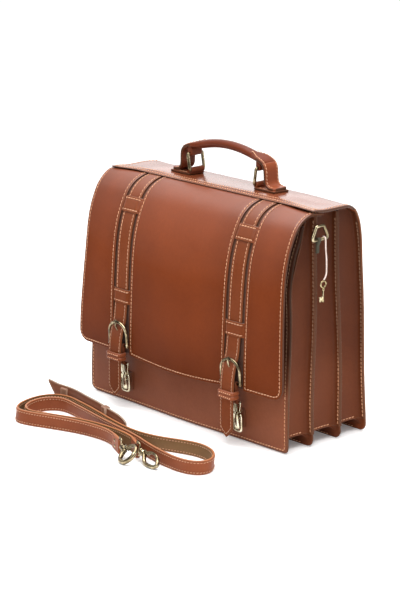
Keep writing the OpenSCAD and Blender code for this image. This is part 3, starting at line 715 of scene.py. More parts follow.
def shoulder_pad():
    L = pad_s[-1]
    l = fine(0, L, 3.0, 1.6, (3, 5, 8, 12, 17))
    tau = fine(0, 1, 0.09, 0.06)
    top = pad_top(l)
    # the left end is cut on a slant, its tip at the top
    low = 32 * (1 - np.clip(l / 16, 0, 1)) ** 1.1 + 7 * (1 - np.clip((L - l) / 13, 0, 1)) ** 2 + 0.2
    U = np.repeat(l[:, None], len(tau), 1)
    V = low[:, None] + (top - low)[:, None] * tau[None, :]
    e = np.minimum((V - low[:, None]) * np.where(l < 16, 0.42, 1.0)[:, None], top[:, None] - V)
    e = np.maximum(np.minimum(e, (L - l)[:, None]), 0)
    # sewn edge, then a crown
    half = 1.5 + 1.1 * sm(3.6, 9.5, e) - 0.35 * np.exp(-(((e - 3.6) / 0.8) ** 2))
    half = half - round_depth(e, 1.1)
    a, b = F_pad(U, V, 2.2 - half), F_pad(U, V, 2.2 + half)
    n, m = U.shape
    k = n * m
    faces = grid_faces(n, m) + [q[::-1] for q in grid_faces(n, m, k)]
    loop = [j for j in range(m)] + [i * m + m - 1 for i in range(1, n)]
    loop += [(n - 1) * m + j for j in range(m - 2, -1, -1)] + [i * m for i in range(n - 2, 0, -1)]
    faces += [[p, p + k, q + k, q] for p, q in zip(loop, loop[1:] + loop[:1])]
    o = mesh("shoulder_pad", np.concatenate([a.reshape(-1, 3), b.reshape(-1, 3)]), faces, PAD,
             np.tile((e * np.where(l < 18, 0.5, 1.0)[:, None]).ravel(), 2))
    put(o, "shoulder_strap", "belt_pad")
    # two small keepers round the pad
    b = Build()
    for c in (25.0, L - 56.0):
        u = np.linspace(c - 5, c + 5, 9)
        h = pad_top(u) + (-3.0 if c < 30 else 0.9)
        ring = []
        for ui, hi in zip(u, h):
            q = rounded([[-1.2, 4.0], [-1.2, hi], [8.4, hi], [8.4, 4.0]], 1.6, True, 5)
            w = 0.35 * abs(ui - c) / 5
            q = q + np.where(q[:, :1] > 2.2, -w, w) * [[1, 0]]
            ring.append(F_pad(np.full(len(q), ui), q[:, 1], q[:, 0]))
        n, m = len(ring), len(ring[0])
        faces = grid_faces(n, m, 0, False, True) + [list(range(m))[::-1], [(n - 1) * m + k for k in range(m)]]
        b.add(np.concatenate(ring), faces, np.repeat([0.6, 1.2, 2, 3, 9, 3, 2, 1.2, 0.6], m))
    keep = b.done("pad_keepers", PALE_LEATHER, "leather_lit")
    put(keep, "shoulder_strap")
    return o, keep


pad, pad_keepers = shoulder_pad()

HOOK_AT = {1: ((44, -210.5, 13.6), -24, 3, 42), 2: ((72, -205, 14), -14, 8, 50)}


def hook_frame(k, rolled=False):
    o, yaw, droop, roll = HOOK_AT[k]
    a, b, r = math.radians(yaw), math.radians(droop), math.radians(roll if rolled else 0)
    X = np.array([math.cos(a) * math.cos(b), math.sin(a) * math.cos(b), -math.sin(b)])
    Y0 = np.array([-math.sin(a), math.cos(a), 0])
    Z0 = np.cross(X, Y0)
    Y, Z = Y0 * math.cos(r) + Z0 * math.sin(r), Z0 * math.cos(r) - Y0 * math.sin(r)
    o = np.array(o, float)
    return lambda p: o + np.asarray(p, float)[..., 0:1] * X + np.asarray(p, float)[..., 1:2] * Y + np.asarray(p, float)[..., 2:3] * Z, X, Y, Z


GATE = {1: (25.2, 4.2), 2: (25.4, 3.6)}


def arc(c, R, a0, a1, n=24):
    a = np.radians(np.linspace(a0, a1, n))
    return np.stack([c[0] + R * np.cos(a), c[1] + R * np.sin(a), 0 * a], -1)


def snap_hook(k):
    w, X, Y, Z = hook_frame(k)
    b = Build()
    b.add(*tube(w(rounded([[-0.4, 0, -9.6], [-0.4, 0, 9.6], [8, 0, 8.4], [8, 0, -8.4]], 2.6, True)), 1.4, 12, True, up=Y))
    b.add(*lathe([(7, 1.2), (7.3, 2.6), (8.8, 2.8), (9.6, 1.9), (17.4, 1.8), (17.8, 1.2)], w([0, 0, 0]).ravel(), X))
    eye = b.done("swivel_eye_%d" % k, BRASS, "brass")
    put(eye, "shoulder_strap", "hook_eye_%d" % k)
    w, X, Y, Z = hook_frame(k, True)
    b = Build()
    b.add(*lathe([(10.4, 2.4), (10.5, 3.7), (11.0, 4.3), (12.6, 4.4), (13.1, 3.7), (13.7, 3.7), (14.2, 4.4), (18.6, 4.4), (19.2, 3.8),
                  (20.0, 3.8), (20.6, 4.2), (22.2, 3.9), (23.0, 2.6)], w([0, 0, 0]).ravel(), X))
    gx, gy = GATE[k]

    def longer(q):
        q = np.array(q, float)
        q[:, 0] = 25 + (q[:, 0] - 25) * (1.0 if k == 1 else 1.14)
        return q

    for s in (-1, 1):
        q = rounded([[20, gy - 2], [gx + 2, gy - 2], [gx + 2, gy + 2], [20, gy + 2]], 1.6, True, 5)
        b.add(*slab(q, s * 3 - 0.5, s * 3 + 0.5, lambda p, h: w(np.column_stack([p, np.full(len(p), h)])), 0.2))
    b.add(*lathe([(-3.7, 0.6), (-3.6, 1.3), (3.6, 1.3), (3.7, 0.6)], w([gx, gy, 0]).ravel(), Z, 12))
    if k == 1:
        line = arc((38.2, 0), 13.8, 184, 455, 60)
    else:
        line = np.vstack([arc((38, 9), 18, 212, 330, 34), arc((38, -9), 18, 30, 60, 12)[1:]])
        line = resample(rounded(resample(line, 3.0), 2.2), 1.0)
    r = 3.3 if k == 1 else 2.9
    P = w(longer(line))
    P[:, 2] = np.maximum(P[:, 2], r + 0.1)
    b.add(*tube(P, r, 16, False, up=Z, flat=0.9))
    hook = b.done("snap_hook_%d" % k, BRASS, "brass")
    put(hook, "hook_%d" % k, "hook_%d" % k)
    b = Build()
    b.add(*lathe([(-2.3, 1.4), (-2.2, 2.0), (2.2, 2.0), (2.3, 1.4)], w([gx, gy, 0]).ravel(), Z, 18))
    line = arc((38.2, 0), 13.8, 103, 155, 20) if k == 1 else arc((38, -9), 18, 67, 133, 22)
    b.add(*tube(w(longer(line)), 2.3 if k == 1 else 2.1, 14, False, up=Z))
    gate = b.done("hook_gate_wire_%d" % k, BRASS, "brass")
    put(gate, "hook_%d_gate" % k, "hook_gate_%d" % k)
    # strap end folded round the eye, with two rivets
    l0, sgn = (0.0, 1) if k == 1 else (belt_s[-1], -1)
    b = Build()
    run = np.linspace(0, 27, 14)
    face = [F_belt(l0 + sgn * t, 10.0, -1.9).ravel()[:2] for t in run]
    rear = [F_belt(l0 + sgn * t, 10.0, 3.15).ravel()[:2] for t in run]
    bar = w([0, 0, 0]).ravel()[:2]
    out = unit(np.array(face[0]) - np.array(face[2]))
    side = unit(np.array(face[0]) - np.array(rear[0]))
    cap = [bar + 3.4 * (math.cos(a) * side + math.sin(a) * out) for a in np.linspace(0.1, math.pi - 0.1, 12)]
    loop = np.array(face[::-1] + cap + rear)
    b.add(*slab(loop, 0.6, 19.4, lambda p, h: np.column_stack([p, np.full(len(p), h)]), 0.7))
    fold = b.done("strap_fold_%d" % k, STRAP, "leather_lit")
    put(fold, "shoulder_strap")
    b = Build()
    for z in (6, 14):
        p = F_belt(l0 + sgn * 16, z, -1.8).ravel()
        n = unit(F_belt(l0 + sgn * 16, z, -2.8).ravel() - p)
        b.add(*lathe([(-0.3, 2.6), (0.25, 2.5), (0.8, 1.9), (1.1, 1.0), (1.2, 0.3)], p, n, 18))
    rivets = b.done("strap_rivets_%d" % k, BRASS, "brass")
    put(rivets, "shoulder_strap")
    return [eye, hook, gate, fold, rivets]


on_belt = snap_hook(1) + snap_hook(2)

# ---------------------------------------------------------------- key and its cord

RING_X, RING_Z = 202.6, 280.0
cord_route = [[RING_X + 2.7 * math.cos(math.radians(a)), 6, RING_Z + 2.7 * math.sin(math.radians(a))] for a in range(180, -1, -30)]
cord_route += [[RING_X + 3, 6, 270], [RING_X + 3.4, 7, 255], [RING_X + 3.6, 7, 240], [RING_X + 3.6, 5, 230], [RING_X + 3.6, 2, 226.6]]
cord_line = resample(spline(cord_route, 16), 0.7)


def key_cord():
    T, U, V = frames(cord_line)
    s, n = lengths(cord_line), 12
    a = np.linspace(0, 2 * math.pi, n, endpoint=False)
    # two strands laid round each other
    r = 0.80 + 0.28 * np.abs(np.cos(a[None, :] - (s * 1.1)[:, None]))
    pts = cord_line[:, None] + r[:, :, None] * (np.cos(a)[None, :, None] * U[:, None] + np.sin(a)[None, :, None] * V[:, None])
    m = len(s)
    faces = grid_faces(m, n, 0, False, True) + [list(range(n))[::-1], [(m - 1) * n + k for k in range(n)]]
    o = mesh("key_string", pts.reshape(-1, 3), faces, CORD, None)
    return put(o, "key", "key_cord")


def small_key():
    x, y, z = RING_X + 3.6, 1.0, 221.0
    b = Build()
    a = np.linspace(0, 2 * math.pi, 40, endpoint=False)
    b.add(*tube(np.stack([0 * a + x, y + 4.6 * np.cos(a), z + 4.2 * np.sin(a)], -1), 1.15, 12, True, up=(1, 0, 0)))
    b.add(*lathe([(-24.0, 0.6), (-23.8, 1.2), (-8.2, 1.3), (-8.0, 2.0), (-7.2, 2.2), (-6.6, 1.5), (-6.2, 1.5), (-5.6, 2.1), (-4.8, 1.9), (-4.2, 1.2), (-3.4, 0.8)],
                 [x, y - 0.2, z], (0, 0, 1), 18))
    q = [[0.3, -16.2], [-3.0, -16.2], [-3.0, -18.0], [-4.4, -18.0], [-4.4, -16.2], [-7.0, -16.2], [-7.0, -23.0], [-5.2, -23.0], [-5.2, -21.0], [-3.4, -21.0],
         [-3.4, -23.0], [0.3, -23.0]]
    b.add(*slab(np.array(q), -0.8, 0.8, lambda p, h: np.column_stack([np.full(len(p), x + h), y + p[:, 0], z + p[:, 1]]), 0.2))
    o = b.done("key_metal", PALE, "brass")
    return put(o, "key", "key")


string, key = key_cord(), small_key()

# ---------------------------------------------------------------- side profiles of the bag

back_pts = [[89, 0], [88.6, 40], [88, 80], [87, 130], [86, 180], [83, 238], [78, 284], [71.5, 302], [66, 310.4]]
flap_cad = np.array([[-15, 319.5], [-25, 316], [-33, 309], [-40.5, 299], [-47.5, 287], [-54, 273], [-59, 258.5], [-63, 242], [-65.8, 224],
                     [-68, 203], [-70.5, 170], [-72.5, 135], [-74, 100], [-74.5, 70]])
FL = Line([[8, 318.2], [-4, 317.4], [-13, 316.0], [-20, 313.8], [-27, 310.4], [-34, 305.4], [-40.9, 298], [-47.5, 287], [-54, 273], [-59, 258.5],
           [-63, 242], [-65.8, 224], [-68, 203], [-70.5, 170], [-72.5, 135], [-74, 100], [-74.5, 70]])
LID = Line([[81.4, 281], [76, 299.6], [70.2, 309.4], [63.5, 315.3], [57, 317.7], [45, 320.1], [25, 321.9], [5, 321.7], [-8, 320.6], [-17, 318.7]])
BACK = Line(back_pts)
FRONT = Line(np.vstack([offs(flap_cad, 6.0)[1:9], [[-60, 190], [-60, 150], [-60, 100], [-60, 50], [-60, 0]]]))
DIV1 = Line([[-5.4, 314.6], [-5.8, 306], [-7, 250], [-8, 200], [-10, 125], [-11.5, 60], [-12, 0]])
DIV2 = Line([[31.4, 315.4], [31.9, 306], [33.8, 250], [35.5, 200], [37.2, 125], [38.5, 60], [39, 0]])


def ripple(s, z):
    return 0.55 * np.sin(s / 47.0 + 0.7) * np.sin(z / 58.0 + 1.1) + 0.3 * np.sin(s / 23.0 + z / 71.0)


LID_SAG = spline([[-17, 1.0], [-10, -0.8], [-3, -2.4], [5, -3.9], [18, -4.8], [38, -3.7], [48.6, -2.5], [57, -2.3], [63, -3.0], [76, -2.0]], 12)


def sag(s, y):
    """How far the lid's ends hang below its middle."""
    hang = sm(115, 201, np.abs(s)) * np.interp(y, LID_SAG[:, 0], LID_SAG[:, 1])
    return hang + 3.4 * sm(140, 201, -s) * np.exp(-(((y - 66) / 7) ** 2))


def F_flap(s, t, d):
    s, t, d = np.broadcast_arrays(np.asarray(s, float), t, d)
    y, z, ny, nz = FL.at(t)
    g = sm(315, 200, z)
    side = np.clip((np.abs(s) - 115) / 85, 0, None)
    b = np.where(side > 0, -3.0 * side**1.5, 9.0 * ((1 - (s / 200) ** 2) - 0.67)) * g
    b = b + ripple(s, z) * g * sm(10, 60, np.abs(np.abs(s) - 115))
    out = np.where(s < 0, -10.0, 4.0) * np.clip((np.abs(s) - 133) / 67, 0, 1)
    hang = -5.0 * np.clip(1 - (s / 97) ** 2, 0, 1) * sm(170, 80, z)
    hang = hang + (np.minimum(sag(s, y), 0) - 1.0 * sm(115, 201, np.abs(s))) * sm(-24, -8, y)
    hang = hang + 1.5 * sm(-130, -200, s) * sm(-40, -20, y)
    return np.stack([s + out * sm(250, 80, z), y + ny * (d - b), z + nz * (d - b) + hang], -1)


def F_front(s, t, d):
    s, t, d = np.broadcast_arrays(np.asarray(s, float), t, d)
    y, z, ny, nz = FRONT.at(t)
    side = np.clip((np.abs(s) - 115) / 85, 0, None)
    b = (9.0 - 3.0 * sm(150, 0, z)) * ((1 - (s / 200) ** 2) - 0.67) * sm(315, 200, z)
    b = np.where(side > 0, -(1 + 7.0 * sm(20, 180, z)) * side**1.5 * sm(316, 280, z), b) + 0.7 * ripple(s + 30, z) * sm(300, 220, z)
    tuck = 4.5 * (1 - np.sqrt(1 - np.clip((9 - z) / 9.2, 0, 1) ** 2))
    return np.stack([s * (1 + 0.008 * sm(120, 0, z)), y + ny * (d - b) + tuck, z + nz * (d - b) + 0.1], -1)


def F_back(s, t, d):
    s, t, d = np.broadcast_arrays(np.asarray(s, float), t, d)
    y, z, ny, nz = BACK.at(t)
    b = 5.0 * ((1 - (s / 200) ** 2) - 0.55) * sm(0, 90, z) * sm(318, 230, z) + 0.6 * ripple(s - 60, z) * sm(300, 220, z) * sm(0, 60, z)
    return np.stack([s, y + ny * (d - b), z + nz * (d - b) + 0.1], -1)


def F_div(line, ph):
    def F(s, t, d):
        s, t, d = np.broadcast_arrays(np.asarray(s, float), t, d)
        y, z, ny, nz = line.at(t)
        b = 1.6 * np.sin(s / 64.0 + ph) * sm(0, 80, z) * sm(200, 170, np.abs(s)) + 1.3 * np.sin(z / 40.0 + ph) * sm(180, 200, np.abs(s)) * sm(0, 60, z) * sm(312, 270, z)
        return np.stack([s, y + ny * (d - b), z + nz * (d - b) + 0.1 + sag(s, y) * sm(270, 312, z)], -1)
    return F


def F_lid(s, t, d):
    s, t, d = np.broadcast_arrays(np.asarray(s, float), t, d)
    y, z, ny, nz = LID.at(t)
    dz = sag(s, y)
    dz = dz + (0.5 * np.sin(s / 41.0) * np.cos(y / 19.0) - 0.5) * sm(58, 40, y) * sm(-17, 0, y) * sm(130, 90, np.abs(s))
    # front edge drawn back between its two ends
    back = (9.0 * sm(-200, -150, s) - 5.0 * sm(140, 200, s)) * sm(9, -17, y)
    draw = 1 - 0.014 * sm(46, 66, y) - 0.012 * sm(64, 80, y) - 0.021 * sm(120, 200, -s)
    return np.stack([s * draw, y + back + ny * d, z + nz * d + dz], -1)


F_div1, F_div2 = F_div(DIV1, 0.4), F_div(DIV2, 2.1)

# ---------------------------------------------------------------- panels of the body


def panel(name, node, F, t0, t1, material, T=3.0, R=11.0, top=True, x=200.0, groove=GROOVE):
    U, V, e = panel_grid(-x, x, t0, t1, R, R, r=0.44 * T, top=top)
    o = Build().add(*shell(F, U, V, e, T, groove=groove)).done(name, material, "leather")
    return put(o, "bag", node)


def u_line(x, t0, t1, e=3.4, R=11.0):
    """Sewing line round the sides and bottom of a panel."""
    return rounded([[-x + e, t0], [-x + e, t1 - e], [x - e, t1 - e], [x - e, t0]], R - e)


front_top = FRONT.t_at(z=303)
panel("front_panel_leather", "front_panel", F_front, front_top, FRONT.L, FRONT_LEATHER, groove=((5.4, 0.45, 0.9),))
seam("bag", F_front, u_line(200, front_top + 3, FRONT.L, 5.2))
seam("bag", F_front, [[-194, front_top + 4], [194, front_top + 4]])
panel("divider_1_leather", "divider_1", F_div1, 0, DIV1.L, SIDE, T=2.2)
panel("divider_2_leather", "divider_2", F_div2, 0, DIV2.L, SIDE, T=2.2)


def F_back_down(s, t, d):
    return F_back(s, BACK.L - t, d)


panel("back_panel_leather", "back_panel", F_back_down, 0, BACK.L, BACK_LEATHER)
seam("bag", F_back_down, u_line(200, 34, BACK.L))
for F in (F_div1, F_div2):
    seam("bag", F, [[-194, 4], [194, 4]])

# ---------------------------------------------------------------- gussets: three soft bays on each side, running on under the bag


def face_y(F, line, d, x=200.0):
    """Where a panel's face stands at its side edge, by height."""
    t = np.linspace(0, line.L, 200)
    p = F(np.full(200, x), t, np.full(200, float(d)))
    o = np.argsort(p[:, 2])
    return lambda z: np.interp(z, p[o, 2], p[o, 1])


BAYS = {
    1: (face_y(F_front, FRONT, 3.0), face_y(F_div1, DIV1, 0.0)),
    2: (face_y(F_div1, DIV1, 2.2), face_y(F_div2, DIV2, 0.0)),
    3: (face_y(F_div2, DIV2, 2.2), face_y(F_back, BACK, 3.0)),
}
FLOOR_L, CORNER_L = 32.0, 17.0


def roof(y):
    """Height of the underside of the lid and the flap at the side of the bag."""
    t = np.linspace(0, LID.L, 160)
    a = F_lid(np.full(160, 199.0), t, np.full(160, 4.0))
    t = np.linspace(0, FL.t_at(z=270), 120)
    b = F_flap(np.full(120, 199.0), t, np.full(120, 4.7))
    a, b = a[a[:, 1] > -14], b[b[:, 1] < -15]
    p = np.vstack([a, b])
    p = p[np.argsort(p[:, 1])]
    return np.interp(y, p[:, 1], p[:, 2])


def bay_section(k, u, z, d):
    """Section of a bay from its front seam to its rear seam: depth from the side of the bag, and y."""
    yf, yr = BAYS[k]
    f, r = yf(np.maximum(z, 0)), yr(np.maximum(z, 0))
    w = r - f
    bow = (3.0 + 1.3 * np.sin(z / 43.0 + 1.7 * k)) * sm(0, 50, z) * sm(312, 262, z) + 0.6
    lean = sm(0.16, 0.30, u) * sm(0.84, 0.70, u)
    depth_o = 0.5 + 8.6 * (sm(0.0, 0.24, u) * sm(1.0, 0.76, u)) ** 0.8 + bow * np.sin(np.clip((u - 0.2) / 0.6, 0, 1) * math.pi)
    across_o = 1.5 + (w - 3.0) * sm(0.13, 0.87, u)
    depth_i = depth_o + 2.0 * lean
    across_i = 0.05 + (w - 0.1) * sm(0.14, 0.86, u)
    m = d / 2.0
    return depth_o * (1 - m) + depth_i * m, f + across_o * (1 - m) + across_i * m


def F_side(k, side):
    """Side wall of a bay: share of the way across, and height as a share from its raw lower edge to the lid."""

    def F(q, v, d):
        q, v, d = np.broadcast_arrays(np.asarray(q, float), v, d)
        u = np.clip(q, 0, 1)
        z = 17.5 + 286 * v
        depth, y = bay_section(k, u, z, d)
        z = z + (roof(y) - 1.0 - 303.5) * sm(0.7, 1.0, v)
        return np.stack([side * (200 - depth), y, z], -1)

    return F


def F_floor(k, side):
    """Floor of a bay: down inside the side wall, round the corner and in along the bottom."""

    def F(q, l, d):
        q, l, d = np.broadcast_arrays(np.asarray(q, float), l, d)
        u = np.clip(q, 0, 1)
        depth, _ = bay_section(k, u, np.full(l.shape, 24.0), d)
        low = 0.4 + 1.3 * (depth - 0.5)
        rho = np.maximum(11 - depth, 2.0)
        a = np.clip((l - FLOOR_L) / CORNER_L, 0, 1) * math.pi / 2
        x = 200 - depth - rho * (1 - np.cos(a)) - np.maximum(l - FLOOR_L - CORNER_L, 0)
        z = low + rho * (1 - np.sin(a)) + np.maximum(1 - l / FLOOR_L, 0) * 26
        _, y = bay_section(k, u, z, d)
        return np.stack([side * x, y, z], -1)

    return F


def gussets():
    q = np.array([0, 0.01, 0.03, 0.06, 0.09, 0.12, 0.15, 0.18, 0.21, 0.25, 0.3, 0.36, 0.43, 0.5, 0.57, 0.64, 0.7, 0.75, 0.79, 0.82, 0.85, 0.88, 0.91, 0.94, 0.97, 0.99, 1])
    across = np.minimum(q, 1 - q) * 40
    n_all = 150
    for k in (1, 2, 3):
        for s, n in SIDES:
            F = F_side(k, s)
            h = np.concatenate([[0, 0.15, 0.4, 0.8, 1.6, 2.4, 3.2, 4.0, 5.2], np.linspace(8, 278, 44), [280.5, 282, 283.4, 284.4, 285.2, 285.7, 286]]) / 286
            V, U = np.meshgrid(h, q, indexing="ij")
            e = np.minimum(np.repeat(across[None, :], len(h), 0), np.minimum(V, 1 - V) * 286)
            o = Build().add(*shell(F, U, V, e, 2.0, 0.8, groove=((3.4, 0.3, 0.9),))).done("gusset_%s_%d_leather" % (n, k), SIDE, "leather")
            put(o, "bag", "gusset_%s_%d" % (n, k))
            for c in (0.055, 0.945):
                P = F(np.full(n_all, c), np.linspace(0.01, 0.97, n_all), np.zeros(n_all))
                sew("bag", P, np.repeat([[0.25 * s, 1.0 if c < 0.5 else -1.0, 0]], n_all, 0), height=0.8)
            seam("bag", F, [[0.19, 3.4 / 286], [0.66, 3.4 / 286]], deep=0.15, step=0.01, pitch=4.8)
        # floor of the bay, turned up at both ends inside the side walls
        half = FLOOR_L + CORNER_L + 178.0
        r1 = np.concatenate([[0, 0.4, 1.2, 2.4, 4, 6], np.linspace(9, 52, 22), np.linspace(56, half, 14)])
        rows = np.concatenate([r1, (2 * half - r1)[::-1][1:]])
        A, B = F_floor(k, -1), F_floor(k, 1)

        def both(u, l, d):
            p = np.where((l <= half)[..., None], A(u, np.minimum(l, half), d), B(u, np.minimum(2 * half - l, half), d))
            p[..., 0] = np.where(np.abs(l - half) < 1e-6, 0.0, p[..., 0])
            return p

        V, U = np.meshgrid(rows, q, indexing="ij")
        e = np.minimum(np.repeat(across[None, :], len(rows), 0), np.minimum(V, 2 * half - V))
        o = Build().add(*shell(both, U, V, np.maximum(e, 0), 1.9, 0.8, d0=2.1)).done("gusset_bottom_%d_leather" % k, SIDE, "leather")
        put(o, "bag", "gusset_bottom_%d" % k)
        for c in (0.055, 0.945):
            P = both(np.full(220, c), np.linspace(60, 2 * half - 60, 220), np.full(220, 2.1))
            sew("bag", P, np.repeat([[0, 1.0 if c < 0.5 else -1.0, -0.2]], 220, 0), height=0.8)


gussets()

# ---------------------------------------------------------------- lid

LID_X = 201.5


def lid():
    U, V, e = panel_grid(-LID_X, LID_X, 0, LID.L, r=1.3, dv=5.0, extra=SEWN + (8.4, 9.0, 9.6))
    T = (2.8 + 1.2 * sm(165, 196, np.abs(U)) * sm(0, 30, V)) * (1 - 0.4 * sm(LID.L - 16, LID.L - 2, V))
    o = Build().add(*shell(F_lid, U, V, e, T, 1.2, groove=GROOVE)).done("lid_leather", TOP, "leather_lit")
    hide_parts("top_panel")
    bend(o, LID_BEND)
    seam("lid", F_lid, [[-LID_X + 3, LID.L - 4], [LID_X - 3, LID.L - 4]], pitch=4.6, length=3.2, width=1.5)
    seam("lid", F_lid, [[-LID_X + 3, LID.L - 13], [LID_X - 3, LID.L - 13]], pitch=4.6, length=3.2, width=1.5)
    for s in (-1, 1):
        seam("lid", F_lid, [[s * (LID_X - 4), 4], [s * (LID_X - 4), LID.L - 4]])
    for t in (4, 9.5):
        seam("lid", F_lid, [[-LID_X + 3, t], [LID_X - 3, t]])


lid()

# ---------------------------------------------------------------- flap

flap_end = FL.t_at(z=76)


def flap():
    for name, node, xl, xr, RL, RR in (("flap_left_leather", "flap_left", -200, -133, 16, 2.5),
                                       ("flap_centre_leather", "flap_centre", -97, 97, 2.5, 2.5),
                                       ("flap_right_leather", "flap_right", 133, 200, 2.5, 16)):
        U, V, e = panel_grid(xl, xr, 0, flap_end, RL, RR, du=8.0, dv=2.0, r=1.1)
        o = Build().add(*shell(F_flap, U, V, e, 2.5, 1.0, groove=GROOVE)).done(name, LEATHER, "leather")
        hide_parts(node)
        bend(o, FLAP_BEND)
        q = rounded([[xl + 4, 2], [xl + 4, flap_end - 4], [xr - 4, flap_end - 4], [xr - 4, 2]], [0, max(RL - 4, 1), max(RR - 4, 1), 0])
        seam("flap", F_flap, q)
    U, V, e = panel_grid(-199, 199, 3, flap_end - 1.2, 15, 15, du=9.0, dv=2.0, r=0.8, extra=())
    o = Build().add(*shell(F_flap, U, V, e, 2.0, 0.8, d0=2.55)).done("flap_lining_suede", LINING, "lining")
    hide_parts("flap_lining")
    bend(o, FLAP_BEND)


flap()


def keepers_and_straps():
    for s, n in SIDES:
        x0 = s * 115.0
        for z, h in ((157, "low"), (282, "high")):
            ta, tb = FL.t_at(z=z + 10), FL.t_at(z=z - 10)

            def F(u, t, d, x0=x0):
                u = np.asarray(u, float)
                return F_flap(u, t, d - 2.1 + 2.9 * sm(11.6, 17.4, np.abs(u - x0)))

            U, V, e = panel_grid(x0 - 17.7, x0 + 17.7, ta, tb, du=1.6, dv=2.2, r=0.9, extra=(1.8, 2.6, 3.2, 3.8, 4.6))
            e = np.minimum(V - ta, tb - V)
            o = Build().add(*shell(F, U, V, e, 1.9, 0.8, groove=((3.2, 0.35, 0.8),))).done("keeper_%s_%s_leather" % (n, h), LIT, "leather_lit")
            put(o, "flap", "keeper_%s_%s" % (n, h))
            for t in (ta + 3.2, tb - 3.2):
                seam("keepers", F, [[x0 - 15.4, t], [x0 + 15.4, t]], pitch=4.6)
        t1 = FL.t_at(z=150)
        U, V, e = panel_grid(x0 - 12.9, x0 + 12.9, 4, t1, du=2.6, dv=2.0, r=1.0, extra=(1.9, 2.5, 3.1, 3.7))
        e = np.minimum(U - (x0 - 12.9), x0 + 12.9 - U)
        o = Build().add(*shell(F_flap, U, V, e, 2.4, 1.0, d0=-0.1, groove=((3.0, 0.35, 0.8),))).done("strap_%s_leather" % n, LIT, "leather_lit")
        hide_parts("strap_" + n)
        bend(o, FLAP_BEND)
        for u in (-9.8, 9.8):
            seam("flap", F_flap, [[x0 + u, 6], [x0 + u, t1 - 1]], deep=0.05)


keepers_and_straps()

# ---------------------------------------------------------------- strap tails and their hardware

TAIL = Line([[-70.8, 166], [-71.6, 156], [-73, 145.7], [-74.8, 132], [-76.9, 121], [-80.6, 111], [-83.4, 100], [-84.9, 90], [-86.2, 75], [-87.2, 45], [-87.9, 10]])
TAIL_TIP = {-1: 16.5, 1: 11.5}
LIFT = {-1: 3.7, 1: 0.0}
BAR_Y, BAR_Z, ARCH, HALF = -78.4, 85.0, 16.0, 18.0
LEAN = math.atan2(1.6, ARCH + 16.5)


def tail_width(z, tip):
    u = np.clip((tip + 15 - z) / 15.0, 0, 1)
    return 12.9 * (1 - u**1.7)


